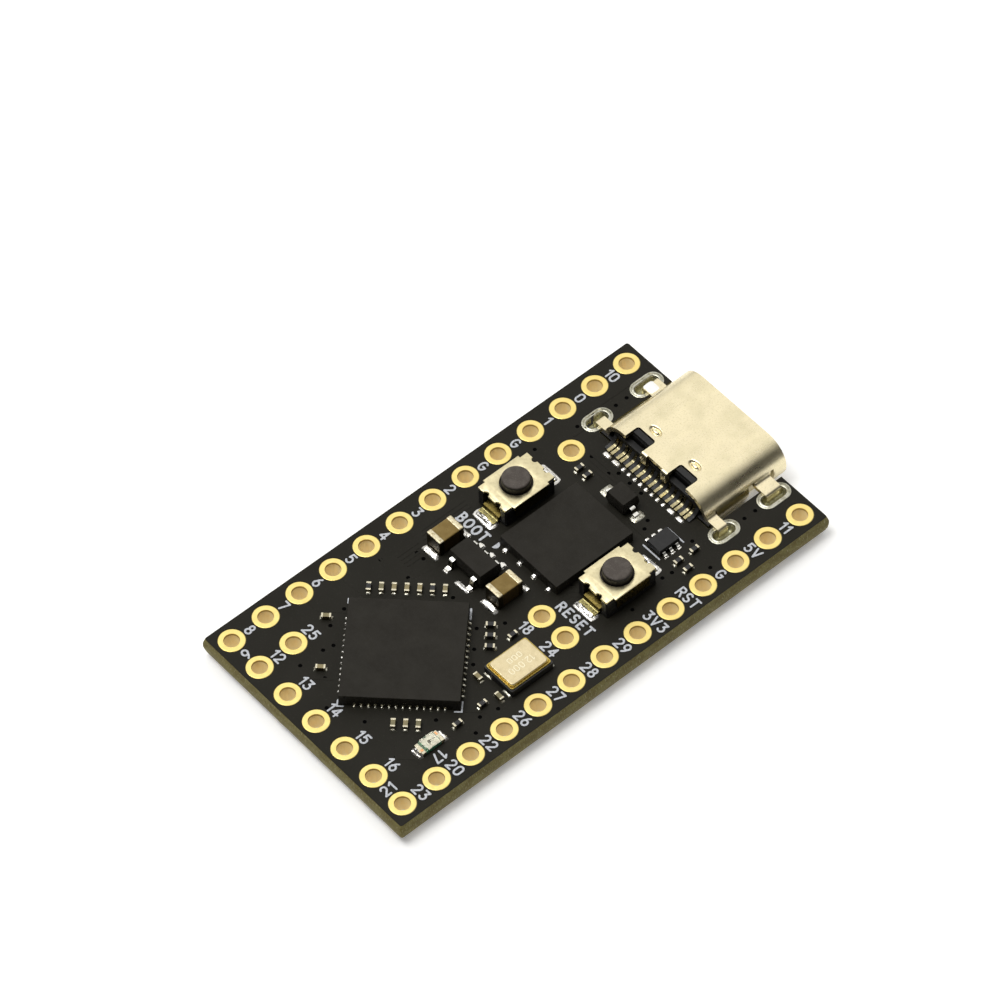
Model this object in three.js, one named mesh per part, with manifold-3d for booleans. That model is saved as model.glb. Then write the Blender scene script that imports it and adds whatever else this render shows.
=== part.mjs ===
// Microcontroller development board: a black circuit board with pin holes along its edges,
// a USB-C socket sunk into its front edge, two push buttons, a controller turned by 45 degrees,
// a flash chip, a voltage regulator, a crystal, an indicator lamp and small chip components.
//
// Millimetres. The origin is the middle of the pin-hole grid on the board's underside.
// +X runs across the board, +Y towards the USB socket and +Z out of the component side.
import * as THREE from 'three';
import { mergeVertices } from 'three/addons/utils/BufferGeometryUtils.js';
import Module from 'manifold-3d';

const wasm = await Module();
wasm.setup();

// ---- driving dimensions ----
const pitch = 2.54;
const board = { width: 17.6, length: 32.7, thickness: 1.2, cornerRadius: 0.15 };
const hole = { radius: 0.5, columnX: 3 * pitch, perColumn: 13, firstY: 6 * pitch, bottomCount: 5 };
const signalHoles = [[-4.9, 8.45], [-5.1, -12.7], [3.05, -0.8], [5.1, -0.8]];
const fit = 0.02; // gap left between pieces that touch
const boardTop = board.thickness;
const seat = boardTop + fit; // height that soldered pieces stand at

const usb = {
  width: 8.94, height: 3.16, wall: 0.3, rearY: 10.74, mouthY: 17.08, centreZ: boardTop + fit,
  notchHalfWidth: 4.81, notchRearY: 10.6,
};
const usbLegs = [
  { y0: 14.57, y1: 15.74, slotY0: 14.12, slotY1: 15.96 },
  { y0: 10.79, y1: 11.49, slotY0: 10.29, slotY1: 11.92 },
];
const legReach = 5.5;
const legTipZ = 0.15;
const slot = { innerX: 5.17, outerX: 6.0, cornerRadius: 0.4 };
const sideWindow = { y0: 14.1, y1: 16.1, z0: -0.15, z1: 1.17 }; // where the front legs were cut from
const insulator = { rearY: 10.9, blockY: 12.6, tipY: 16.4, tongueHalfWidth: 3.34, tongueThickness: 0.7 };
const midplate = { halfWidth: 3.2, thickness: 0.12, rearY: 12.0 };
const contact = { tailY: 10.05, thickness: 0.14, wideTail: 0.58, narrow: 0.27, webY0: 11.3, webY1: 11.6 };

const button = {
  offsetX: 4.45, offsetY: 3.8, baseHalfX: 1.28, halfY: 1.92, cavityRadius: 1.1, cavityFloor: 0.45,
  coverZ0: 1.3, coverZ1: 1.45, coverHalfX: 1.42, stemRadius: 0.925, stemTop: 1.95, flangeRadius: 1.04,
};
const terminal = { width: 1.3, thickness: 0.15, innerY: 1.45, kneeY: 2.05, footY: 2.42, shoulderZ: 0.5 };

const controller = { side: 7, height: 0.85, y: -8.6 };
const flash = { width: 5, length: 5.95, height: 0.75, y: 3.8 };
const smallChip = { length: 0.6, width: 0.3, height: 0.3, end: 0.15, step: 0.01 };
const bulkChip = { length: 2.0, width: 1.25, height: 1.2, end: 0.45, step: 0.02 };

// ---- materials ----
function material(color, roughness, metalness) {
  return new THREE.MeshStandardMaterial({ color, roughness, metalness });
}

const finish = {
  solderMask: material(0x26241f, 0.5, 0),
  nickel: material(0xd8cfae, 0.3, 1),
  blackResin: material(0x141414, 0.55, 0),
  gold: material(0xe6c25a, 0.3, 1),
  steel: material(0xb9b6ad, 0.35, 1),
  chipResin: material(0x2c2a26, 0.6, 0),
  plungerResin: material(0x4b4744, 0.5, 0),
  brown: material(0x7d6a4a, 0.5, 0),
  resistorBlack: material(0x1d1d20, 0.45, 0),
  ceramicBlack: material(0x1b1a19, 0.6, 0),
  lidMetal: material(0xd9c89c, 0.3, 1),
  lampBase: material(0x4f6b4a, 0.6, 0),
  lampLens: material(0xe8ecd8, 0.25, 0),
};

// ---- solids ----
function toSolid(geometry) {
  const bare = geometry.clone();
  bare.deleteAttribute('normal');
  bare.deleteAttribute('uv');
  const merged = mergeVertices(bare, 1e-4);
  const mesh = new wasm.Mesh({
    numProp: 3,
    vertProperties: new Float32Array(merged.attributes.position.array),
    triVerts: new Uint32Array(merged.index.array),
  });
  return new wasm.Manifold(mesh);
}

function toGeometry(solid) {
  const mesh = solid.getMesh();
  const geometry = new THREE.BufferGeometry();
  geometry.setAttribute('position', new THREE.BufferAttribute(new Float32Array(mesh.vertProperties), 3));
  geometry.setIndex(new THREE.BufferAttribute(new Uint32Array(mesh.triVerts), 1));
  return geometry;
}

function join(...geometries) {
  const solids = geometries.map(toSolid);
  return toGeometry(solids.slice(1).reduce((sum, next) => sum.add(next), solids[0]));
}

function cut(geometry, ...tools) {
  return toGeometry(tools.reduce((rest, tool) => rest.subtract(toSolid(tool)), toSolid(geometry)));
}

function box(x0, x1, y0, y1, z0, z1) {
  const geometry = new THREE.BoxGeometry(x1 - x0, y1 - y0, z1 - z0);
  return geometry.translate((x0 + x1) / 2, (y0 + y1) / 2, (z0 + z1) / 2);
}

// A flat outline in X and Y raised from z0 to z1.
function raised(shape, z0, z1, curveSegments = 4) {
  const settings = { depth: z1 - z0, bevelEnabled: false, curveSegments };
  return new THREE.ExtrudeGeometry(shape, settings).translate(0, 0, z0);
}

// An outline in Y and Z, drawn as the shape's x and y, made `width` wide about x = centreX.
function acrossX(shape, centreX, width) {
  const geometry = new THREE.ExtrudeGeometry(shape, { depth: width, bevelEnabled: false });
  const axes = new THREE.Matrix4().makeBasis(
    new THREE.Vector3(0, 1, 0), new THREE.Vector3(0, 0, 1), new THREE.Vector3(1, 0, 0));
  return geometry.applyMatrix4(axes).translate(centreX - width / 2, 0, 0);
}

// An outline in X and Z, drawn as the shape's x and y, run along Y from y0 to y1.
function alongY(shape, y0, y1, curveSegments = 8) {
  const settings = { depth: y1 - y0, bevelEnabled: false, curveSegments };
  return new THREE.ExtrudeGeometry(shape, settings).rotateX(Math.PI / 2).translate(0, y1, 0);
}

function polygon(points) {
  return new THREE.Shape(points.map(([x, y]) => new THREE.Vector2(x, y)));
}

function roundedRectangle(x0, x1, y0, y1, radius) {
  const shape = new THREE.Shape();
  shape.absarc(x1 - radius, y1 - radius, radius, 0, Math.PI / 2);
  shape.absarc(x0 + radius, y1 - radius, radius, Math.PI / 2, Math.PI);
  shape.absarc(x0 + radius, y0 + radius, radius, Math.PI, Math.PI * 1.5);
  shape.absarc(x1 - radius, y0 + radius, radius, Math.PI * 1.5, Math.PI * 2);
  shape.closePath();
  return shape;
}

function circle(x, y, radius) {
  return new THREE.Path().absarc(x, y, radius, 0, Math.PI * 2, true);
}

// The outline of a strip of even thickness that follows a bent line with square corners mitred.
function bentStrip(points, thickness) {
  const line = points.map(([x, y]) => new THREE.Vector2(x, y));
  const normals = line.slice(1).map((point, i) => {
    const along = point.clone().sub(line[i]).normalize();
    return new THREE.Vector2(-along.y, along.x);
  });
  const sides = line.map((point, i) => {
    const before = normals[Math.max(i - 1, 0)];
    const after = normals[Math.min(i, normals.length - 1)];
    const mitre = before.clone().add(after).normalize();
    return mitre.multiplyScalar(thickness / 2 / mitre.dot(before));
  });
  const left = line.map((point, i) => point.clone().add(sides[i]));
  const right = line.map((point, i) => point.clone().sub(sides[i])).reverse();
  return new THREE.Shape([...left, ...right]);
}

// A moulded block with its top and bottom edges sloped off.
function mouldedBlock(width, length, z0, z1, slope) {
  const inset = roundedRectangle(
    -width / 2 + slope, width / 2 - slope, -length / 2 + slope, length / 2 - slope, slope / 2);
  const settings = {
    depth: z1 - z0 - 2 * slope, bevelThickness: slope, bevelSize: slope, bevelSegments: 1, curveSegments: 1,
  };
  return new THREE.ExtrudeGeometry(inset, settings).translate(0, 0, z0 + slope);
}

// A chip component along X: a body with a slightly thicker cap on each end.
function cappedBlock({ length, width, height, end, step }) {
  const half = length / 2;
  const inner = half - end;
  const outline = polygon([
    [-half, 0], [-inner, 0], [-inner, step], [inner, step], [inner, 0], [half, 0],
    [half, height], [inner, height], [inner, height - step], [-inner, height - step], [-inner, height],
    [-half, height],
  ]);
  return alongY(outline, -width / 2, width / 2);
}

// A lead that leaves a moulded body towards +Y and bends down to a foot.
function gullLead(width, thickness, innerY, kneeY, footY, shoulderZ) {
  const footZ = thickness / 2;
  const line = [[innerY, shoulderZ], [kneeY, shoulderZ], [kneeY + 0.07, footZ], [footY, footZ]];
  return acrossX(bentStrip(line, thickness), 0, width);
}

// ---- the group and its named pieces ----
const model = new THREE.Group();
model.name = 'microcontroller_board';

function add(parent, name, geometry, look) {
  const mesh = new THREE.Mesh(geometry, look);
  mesh.name = name;
  parent.add(mesh);
  return mesh;
}

function place(x, y, z = seat, turn = 0) {
  const holder = new THREE.Group();
  holder.position.set(x, y, z);
  holder.rotation.z = turn;
  model.add(holder);
  return holder;
}

// ---- circuit board ----
function holeCentres() {
  const centres = [...signalHoles];
  for (let i = 0; i < hole.perColumn; i += 1) {
    const y = hole.firstY - i * pitch;
    centres.push([-hole.columnX, y], [hole.columnX, y]);
  }
  for (let i = 0; i < hole.bottomCount; i += 1) {
    centres.push([(i - (hole.bottomCount - 1) / 2) * pitch, -hole.firstY]);
  }
  return centres;
}

function circuitBoard() {
  const halfX = board.width / 2;
  const halfY = board.length / 2;
  const outline = roundedRectangle(-halfX, halfX, -halfY, halfY, board.cornerRadius);
  outline.holes = holeCentres().map(([x, y]) => circle(x, y, hole.radius));
  const blank = raised(outline, 0, board.thickness, 6);
  const notch = box(-usb.notchHalfWidth, usb.notchHalfWidth, usb.notchRearY, halfY + 1, -1, boardTop + 1);
  const slots = usbLegs.flatMap(({ slotY0, slotY1 }) => [-1, 1].map((side) => {
    const [x0, x1] = side > 0 ? [slot.innerX, slot.outerX] : [-slot.outerX, -slot.innerX];
    return raised(roundedRectangle(x0, x1, slotY0, slotY1, slot.cornerRadius), -1, boardTop + 1, 5);
  }));
  return cut(blank, notch, ...slots);
}

add(model, 'circuit_board', circuitBoard(), finish.solderMask);

// ---- USB-C socket ----
function stadium(width, height) {
  return roundedRectangle(
    -width / 2, width / 2, usb.centreZ - height / 2, usb.centreZ + height / 2, height / 2 - 1e-3);
}

function usbShell() {
  const sleeve = stadium(usb.width, usb.height);
  const bore = stadium(usb.width - 2 * usb.wall, usb.height - 2 * usb.wall);
  sleeve.holes = [bore];
  let shell = alongY(sleeve, usb.rearY, usb.mouthY, 6);
  const top = usb.centreZ + usb.height / 2;
  const rearNotches = [-1, 1].map((side) => {
    const centre = side * 1.875;
    return box(centre - 0.775, centre + 0.775, usb.rearY - 1, 11.78, top - 0.6, top + 1);
  });
  const legZ = usb.centreZ + usb.wall / 2;
  const windows = [];
  const legs = [];
  for (const side of [-1, 1]) {
    for (const { y0, y1 } of usbLegs) {
      const centreLineX = legReach - usb.wall / 2;
      const line = [[4.3, legZ], [centreLineX, legZ], [centreLineX, legTipZ]];
      legs.push(alongY(bentStrip(line.map(([x, z]) => [side * x, z]), usb.wall), y0, y1));
    }
    const [x0, x1] = side > 0 ? [3, 5] : [-5, -3];
    windows.push(box(x0, x1, sideWindow.y0, sideWindow.y1, sideWindow.z0, sideWindow.z1));
  }
  shell = cut(shell, ...rearNotches, ...windows);
  return join(shell, ...legs);
}

// Tail places across the socket; each finger lies on the tongue's top or under it.
const contacts = [
  { tail: -3.2, finger: -2.75, wide: true, top: true },
  { tail: -2.4, finger: -2.25, wide: true, top: false },
  { tail: -1.75, finger: -1.75, wide: false, top: true },
  { tail: -1.25, finger: -1.25, wide: false, top: false },
  { tail: -0.75, finger: -0.75, wide: false, top: true },
  { tail: -0.25, finger: -0.25, wide: false, top: false },
  { tail: 0.25, finger: 0.25, wide: false, top: true },
  { tail: 0.75, finger: 0.75, wide: false, top: false },
  { tail: 1.25, finger: 1.25, wide: false, top: true },
  { tail: 1.75, finger: 1.75, wide: false, top: false },
  { tail: 2.4, finger: 2.25, wide: true, top: true },
  { tail: 3.2, finger: 2.75, wide: true, top: false },
];

// The contact as tail, web and finger boxes, grown by `grow` on every side.
function contactBoxes({ tail, finger, wide, top }, grow) {
  const tailHalf = (wide ? contact.wideTail : contact.narrow) / 2 + grow;
  const fingerHalf = contact.narrow / 2 + grow;
  const tailZ0 = seat - grow;
  const tailZ1 = seat + contact.thickness + grow;
  const surface = insulator.tongueThickness / 2;
  const fingerZ = usb.centreZ + (top ? surface - contact.thickness / 2 : contact.thickness / 2 - surface);
  const fingerZ0 = fingerZ - contact.thickness / 2 - grow;
  const fingerZ1 = fingerZ + contact.thickness / 2 + grow;
  const webX0 = Math.min(tail - tailHalf, finger - fingerHalf);
  const webX1 = Math.max(tail + tailHalf, finger + fingerHalf);
  const webZ0 = Math.min(tailZ0, fingerZ0);
  const webZ1 = Math.max(tailZ1, fingerZ1);
  return [
    box(tail - tailHalf, tail + tailHalf, contact.tailY - grow, contact.webY1 + grow, tailZ0, tailZ1),
    box(webX0, webX1, contact.webY0 - grow, contact.webY1 + grow, webZ0, webZ1),
    box(finger - fingerHalf, finger + fingerHalf, contact.webY0 - grow, insulator.tipY - 0.35 + grow,
      fingerZ0, fingerZ1),
  ];
}

function usbInsulator() {
  const clearance = 2 * (usb.wall + fit);
  const plug = alongY(
    stadium(usb.width - clearance, usb.height - clearance), insulator.rearY, insulator.blockY, 6);
  const half = insulator.tongueThickness / 2;
  const tongue = box(-insulator.tongueHalfWidth, insulator.tongueHalfWidth, insulator.blockY - 0.1,
    insulator.tipY, usb.centreZ - half, usb.centreZ + half);
  const plateGap = midplate.thickness / 2 + fit;
  const plateSlot = box(-4, 4, midplate.rearY - fit, insulator.tipY + 1,
    usb.centreZ - plateGap, usb.centreZ + plateGap);
  const channels = contacts.flatMap((each) => contactBoxes(each, fit));
  return cut(join(plug, tongue), plateSlot, ...channels);
}

add(model, 'usb_shell', usbShell(), finish.nickel);
add(model, 'usb_insulator', usbInsulator(), finish.blackResin);
add(model, 'usb_midplate', box(-midplate.halfWidth, midplate.halfWidth, midplate.rearY, insulator.tipY - 0.05,
  usb.centreZ - midplate.thickness / 2, usb.centreZ + midplate.thickness / 2), finish.steel);
contacts.forEach((each, i) => {
  add(model, `usb_contact_${String(i + 1).padStart(2, '0')}`, join(...contactBoxes(each, 0)), finish.gold);
});

// ---- push buttons ----
function buttonBase() {
  const block = box(-button.baseHalfX, button.baseHalfX, -button.halfY, button.halfY, 0.03, button.coverZ0 - fit);
  const cavity = new THREE.CylinderGeometry(button.cavityRadius, button.cavityRadius, 2, 24)
    .rotateX(Math.PI / 2).translate(0, 0, button.cavityFloor + 1);
  const gap = terminal.thickness / 2 + fit;
  const halfWidth = terminal.width / 2 + fit;
  const pockets = [-1, 1].map((side) => {
    const inner = terminal.innerY - fit;
    const [y0, y1] = side > 0 ? [inner, 3] : [-3, -inner];
    return box(-halfWidth, halfWidth, y0, y1, terminal.shoulderZ - gap, terminal.shoulderZ + gap);
  });
  return cut(block, cavity, ...pockets);
}

function buttonCover() {
  const halfY = button.halfY - 0.005;
  const outline = roundedRectangle(-1.4, 1.4, -halfY, halfY, 0.1);
  outline.holes = [circle(0, 0, button.stemRadius + 0.06)];
  const plate = raised(outline, button.coverZ0, button.coverZ1, 6);
  const cornerNotches = [-1, 1].flatMap((sideX) => [-1, 1].map((sideY) => {
    const [x0, x1] = sideX > 0 ? [1.23, 2] : [-2, -1.23];
    const [y0, y1] = sideY > 0 ? [halfY - 0.55, 3] : [-3, -halfY + 0.55];
    return box(x0, x1, y0, y1, 1, 2);
  }));
  const endNotches = [-1, 1].flatMap((sideX) => [-1, 1].map((sideY) => {
    const bite = new THREE.CylinderGeometry(0.2, 0.2, 1, 10).rotateX(Math.PI / 2);
    return bite.translate(sideX * 0.5, sideY * (halfY + 0.02), button.coverZ1);
  }));
  const tabs = [-1, 1].map((side) => {
    const inner = button.baseHalfX + fit;
    const [x0, x1] = side > 0 ? [inner, button.coverHalfX] : [-button.coverHalfX, -inner];
    return box(x0, x1, -1.2, 1.2, 0.55, button.coverZ1 - 0.03);
  });
  return join(cut(plate, ...cornerNotches, ...endNotches), ...tabs);
}

function buttonPlunger() {
  const profile = [
    [0, 0.82], [0.45, 0.82], [0.5, 0.9], [button.flangeRadius, 0.9], [button.flangeRadius, 1.22],
    [button.stemRadius, 1.22], [button.stemRadius, button.stemTop - 0.08],
    [button.stemRadius - 0.08, button.stemTop], [0, button.stemTop],
  ];
  const points = profile.map(([r, z]) => new THREE.Vector2(r, z));
  return new THREE.LatheGeometry(points, 24).rotateX(Math.PI / 2);
}

// A thin cap that is fixed at its rim; its crown is pressed down by the plunger.
function buttonDome() {
  const rimRadius = 1.04;
  const rimZ = button.cavityFloor + fit;
  const crown = 0.8 - rimZ;
  const skin = 0.06;
  const steps = [0, 0.4, 0.7, 0.9, 1];
  const outer = steps.map((t) => new THREE.Vector2(t * rimRadius, rimZ + skin + (crown - skin) * (1 - t * t)));
  const inner = outer.map((point) => new THREE.Vector2(point.x, point.y - skin));
  return new THREE.LatheGeometry([...inner, ...outer.reverse()], 20).rotateX(Math.PI / 2);
}

function pushButton(name, x, y) {
  const holder = place(x, y, boardTop);
  add(holder, `${name}_base`, buttonBase(), finish.blackResin);
  add(holder, `${name}_cover`, buttonCover(), finish.nickel);
  add(holder, `${name}_plunger`, buttonPlunger(), finish.plungerResin);
  add(holder, `${name}_dome`, buttonDome(), finish.steel);
  const { width, thickness, innerY, kneeY, footY, shoulderZ } = terminal;
  const lead = () => gullLead(width, thickness, innerY, kneeY, footY, shoulderZ).translate(0, 0, fit / 2);
  add(holder, `${name}_terminal_front`, lead(), finish.gold);
  add(holder, `${name}_terminal_rear`, lead().rotateZ(Math.PI), finish.gold);
}

pushButton('boot', -button.offsetX, button.offsetY);
pushButton('reset', button.offsetX, button.offsetY);

// ---- chips ----
function leadedChip({ width, length, height, leads, slope }) {
  const body = mouldedBlock(width, length, 0.06, height, slope);
  const pieces = leads.map(({ x, turn, width: leadWidth, innerY, kneeY, footY, shoulderZ, thickness }) => {
    const lead = gullLead(leadWidth, thickness, innerY, kneeY, footY, shoulderZ);
    return lead.translate(x, 0, 0).rotateZ(turn);
  });
  return join(body, ...pieces);
}

function leadRow(places, turn, size) {
  return places.map((x) => ({ x, turn, ...size }));
}

const regulatorLead = { width: 0.4, thickness: 0.15, innerY: 0.6, kneeY: 0.98, footY: 1.42, shoulderZ: 0.55 };
const regulator = {
  width: 2.9, length: 1.6, height: 1.12, slope: 0.12,
  leads: [...leadRow([-0.95, 0, 0.95], 0, regulatorLead), ...leadRow([-0.95, 0.95], Math.PI, regulatorLead)],
};
const diodeLead = { width: 0.3, thickness: 0.12, innerY: 0.6, kneeY: 0.98, footY: 1.3, shoulderZ: 0.42 };
const diode = {
  width: 1.3, length: 1.6, height: 1.0, slope: 0.1,
  leads: [...leadRow([0], 0, diodeLead), ...leadRow([0], Math.PI, diodeLead)],
};
const guardLead = { width: 0.22, thickness: 0.12, innerY: 0.4, kneeY: 0.62, footY: 0.8, shoulderZ: 0.24 };
const guardChip = {
  width: 1.6, length: 1.2, height: 0.58, slope: 0.06,
  leads: [...leadRow([-0.5, 0, 0.5], 0, guardLead), ...leadRow([-0.5, 0, 0.5], Math.PI, guardLead)],
};

add(place(0, controller.y, seat, Math.PI / 4), 'microcontroller_chip',
  mouldedBlock(controller.side, controller.side, 0, controller.height, 0.05), finish.chipResin);
add(place(0, flash.y), 'flash_chip',
  mouldedBlock(flash.width, flash.length, 0, flash.height, 0.04), finish.chipResin);
add(place(-2.15, -1.43), 'voltage_regulator', leadedChip(regulator), finish.chipResin);
add(place(0.08, 8.08, seat, Math.PI / 2), 'input_diode', leadedChip(diode), finish.chipResin);
add(place(3.88, 7.88, seat, Math.PI / 2), 'surge_guard_chip', leadedChip(guardChip), finish.chipResin);

// ---- crystal and indicator lamp ----
const crystal = place(5.02, -4.27);
add(crystal, 'crystal_base', mouldedBlock(2.5, 3.2, 0, 0.5, 0.04), finish.ceramicBlack);
add(crystal, 'crystal_lid', mouldedBlock(2.1, 2.8, 0.52, 0.78, 0.05), finish.lidMetal);

const lamp = place(5.6, -11.5);
add(lamp, 'indicator_base', mouldedBlock(0.8, 1.6, 0, 0.25, 0.03), finish.lampBase);
add(lamp, 'indicator_lens', mouldedBlock(0.78, 1.1, 0.27, 0.6, 0.06), finish.lampLens);

// ---- capacitors and resistors ----
const across = 0;
const along = Math.PI / 2;
const rising = Math.PI / 4;
const falling = -Math.PI / 4;

// `count` places on a straight row, each at the same turn.
function row(count, x, y, stepX, stepY, turn) {
  return Array.from({ length: count }, (_, i) => ({ x: x + i * stepX, y: y + i * stepY, turn }));
}

add(place(-4.74, -1.43, seat, along), 'input_capacitor', cappedBlock(bulkChip), finish.brown);
add(place(0.49, -1.43, seat, along), 'output_capacitor', cappedBlock(bulkChip), finish.brown);

const leftRow = row(7, -2.04, -3.77, -0.52, -0.532, falling);
const lowerRow = row(3, 4.19, -11.13, -0.51, -0.515, falling);
const upperRow = row(3, 1.64, -3.47, 0.57, -0.53, rising);
const capacitors = [
  leftRow[0], leftRow[2], leftRow[3], leftRow[4], leftRow[5], ...lowerRow,
  { x: -5.2, y: -10.14, turn: rising },
  { x: 3.94, y: -6.43, turn: across },
  { x: 5.8, y: -6.43, turn: across },
];
const resistors = [
  leftRow[1], leftRow[6], ...upperRow,
  { x: 5.54, y: -7.48, turn: along },
  ...row(2, -3.5, 7.86, 0.72, 0, along),
  ...row(2, 5.47, 8.88, 0, -1.25, along),
];

function addChips(label, places, look) {
  places.forEach(({ x, y, turn }, i) => {
    const name = `${label}_${String(i + 1).padStart(2, '0')}`;
    add(place(x, y, seat, turn), name, cappedBlock(smallChip), look);
  });
}

addChips('capacitor', capacitors, finish.brown);
addChips('resistor', resistors, finish.resistorBlack);

export default model;
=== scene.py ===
"""Looks of the microcontroller development board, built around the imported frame.

Shapes are drawn in millimetres and turned into metres when a piece is made.
"""
import math

import bmesh
import bpy
from mathutils import Matrix, Vector, noise
from mathutils.geometry import tessellate_polygon


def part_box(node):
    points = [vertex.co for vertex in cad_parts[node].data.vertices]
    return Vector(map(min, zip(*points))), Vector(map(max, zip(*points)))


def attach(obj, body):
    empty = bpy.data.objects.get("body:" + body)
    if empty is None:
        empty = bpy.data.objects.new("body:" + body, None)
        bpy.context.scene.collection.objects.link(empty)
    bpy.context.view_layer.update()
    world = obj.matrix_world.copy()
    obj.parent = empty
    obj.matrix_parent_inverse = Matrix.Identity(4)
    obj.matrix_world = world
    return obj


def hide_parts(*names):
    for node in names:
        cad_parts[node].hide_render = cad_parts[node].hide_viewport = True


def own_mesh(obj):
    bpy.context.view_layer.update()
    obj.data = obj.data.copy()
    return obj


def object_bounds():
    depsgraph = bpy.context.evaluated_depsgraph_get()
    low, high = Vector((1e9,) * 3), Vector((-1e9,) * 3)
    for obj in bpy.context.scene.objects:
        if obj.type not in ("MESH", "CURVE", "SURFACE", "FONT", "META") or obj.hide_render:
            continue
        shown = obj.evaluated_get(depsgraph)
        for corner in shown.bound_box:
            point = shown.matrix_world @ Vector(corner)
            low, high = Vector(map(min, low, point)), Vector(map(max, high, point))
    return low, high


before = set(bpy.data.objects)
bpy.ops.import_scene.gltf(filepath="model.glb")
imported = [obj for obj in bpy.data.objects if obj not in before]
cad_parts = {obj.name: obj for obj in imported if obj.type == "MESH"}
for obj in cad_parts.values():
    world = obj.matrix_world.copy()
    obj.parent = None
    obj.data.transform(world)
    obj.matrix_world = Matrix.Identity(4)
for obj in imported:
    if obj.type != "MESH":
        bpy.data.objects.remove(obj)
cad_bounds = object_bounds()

MM = 0.001
PITCH = 2.54
TAU = 2 * math.pi
QUARTER = math.pi / 2
EIGHTH = math.pi / 4


class Box:
    """A CAD node's box, in millimetres."""

    def __init__(self, node):
        low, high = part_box(node)
        self.low = low / MM
        self.high = high / MM
        self.centre = (self.low + self.high) / 2
        self.half = (self.high - self.low) / 2

    def sculpt(self, z=0.0, turn=0.0):
        """A new sculpt, drawn about the middle of the box."""
        return Sculpt().place(self.centre.x, self.centre.y, z, turn)


BOARD_HIGH = Box("circuit_board").high
TOP = BOARD_HIGH.z
MASK = 0.03
COPPER_RISE = 0.004


# ---------------------------------------------------------------- materials
class Shader:
    """A Principled material whose nodes are added one call at a time."""

    def __init__(self, name, colour, roughness, metallic=0.0, **sockets):
        self.material = bpy.data.materials.new(name)
        self.material.use_nodes = True
        self.tree = self.material.node_tree
        self.bsdf = self.tree.nodes["Principled BSDF"]
        self.colour = (*colour, 1.0)
        self.bsdf.inputs["Base Color"].default_value = self.colour
        self.bsdf.inputs["Roughness"].default_value = roughness
        self.bsdf.inputs["Metallic"].default_value = metallic
        for socket, value in sockets.items():
            self.bsdf.inputs[socket.replace("_", " ")].default_value = value
        self.coordinates = self.tree.nodes.new("ShaderNodeTexCoord").outputs["Object"]
        self.height = None

    def link(self, source, target):
        self.tree.links.new(source, target)

    def stretched(self, stretch):
        """Object coordinates scaled along each axis."""
        mapping = self.tree.nodes.new("ShaderNodeMapping")
        mapping.inputs["Scale"].default_value = stretch
        self.link(self.coordinates, mapping.inputs["Vector"])
        return mapping.outputs["Vector"]

    def noise(self, size, detail=3.0, stretch=None):
        """Noise with features about `size` millimetres across."""
        node = self.tree.nodes.new("ShaderNodeTexNoise")
        node.inputs["Scale"].default_value = 1 / (size * MM)
        node.inputs["Detail"].default_value = detail
        vector = self.stretched(stretch) if stretch else self.coordinates
        self.link(vector, node.inputs["Vector"])
        return node.outputs["Fac"]

    def along(self, axis, low, high):
        """Runs from 0 to 1 between two places on an axis, in millimetres."""
        node = self.tree.nodes.new("ShaderNodeSeparateXYZ")
        self.link(self.coordinates, node.inputs["Vector"])
        return self.remap(node.outputs[axis], low * MM, high * MM, 0, 1)

    def inside(self, x0, x1, y0, y1, soft):
        """Is 1 inside a rectangle and fades to 0 over `soft` millimetres around it."""
        sides = [("X", x0 - soft, x0), ("X", x1 + soft, x1), ("Y", y0 - soft, y0), ("Y", y1 + soft, y1)]
        product = None
        for side in sides:
            ramp = self.along(*side)
            if product:
                node = self.tree.nodes.new("ShaderNodeMath")
                node.operation = "MULTIPLY"
                self.link(product, node.inputs[0])
                self.link(ramp, node.inputs[1])
                ramp = node.outputs[0]
            product = ramp
        return product

    def steepness(self, low, high):
        """Runs from 0 on a level face to 1 on an upright one."""
        geometry = self.tree.nodes.new("ShaderNodeNewGeometry")
        node = self.tree.nodes.new("ShaderNodeSeparateXYZ")
        self.link(geometry.outputs["Normal"], node.inputs["Vector"])
        return self.remap(node.outputs["Z"], high, low, 0, 1)

    def remap(self, value, from_low, from_high, to_low, to_high):
        node = self.tree.nodes.new("ShaderNodeMapRange")
        limits = {"From Min": from_low, "From Max": from_high, "To Min": to_low, "To Max": to_high}
        for socket, limit in limits.items():
            node.inputs[socket].default_value = limit
        self.link(value, node.inputs["Value"])
        return node.outputs["Result"]

    def tint(self, value, low, high, other):
        """Mixes another colour in as `value` goes from low to high."""
        ramp = self.remap(value, low, high, 0, 1)
        mix = self.tree.nodes.new("ShaderNodeMix")
        mix.data_type = "RGBA"
        base = self.bsdf.inputs["Base Color"]
        if base.is_linked:
            self.link(base.links[0].from_socket, mix.inputs["A"])
        else:
            mix.inputs["A"].default_value = self.colour
        mix.inputs["B"].default_value = (*other, 1.0)
        self.link(ramp, mix.inputs["Factor"])
        self.link(mix.outputs["Result"], base)
        return self

    def vary_roughness(self, value, low, high):
        self.link(self.remap(value, 0.3, 0.7, low, high), self.bsdf.inputs["Roughness"])
        return self

    def bump(self, value, depth):
        """Adds surface relief, `depth` in millimetres."""
        node = self.tree.nodes.new("ShaderNodeBump")
        node.inputs["Strength"].default_value = 1.0
        node.inputs["Distance"].default_value = depth * MM
        self.link(value, node.inputs["Height"])
        if self.height:
            self.link(self.height, node.inputs["Normal"])
        self.height = node.outputs["Normal"]
        self.link(self.height, self.bsdf.inputs["Normal"])
        return self


def steep(low, high):
    """A field that is 0 on level faces and 1 on upright ones."""
    return lambda shader: shader.steepness(low, high)


def along(axis, low, high):
    """A field that runs from 0 to 1 between two places on an axis."""
    return lambda shader: shader.along(axis, low, high)


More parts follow.
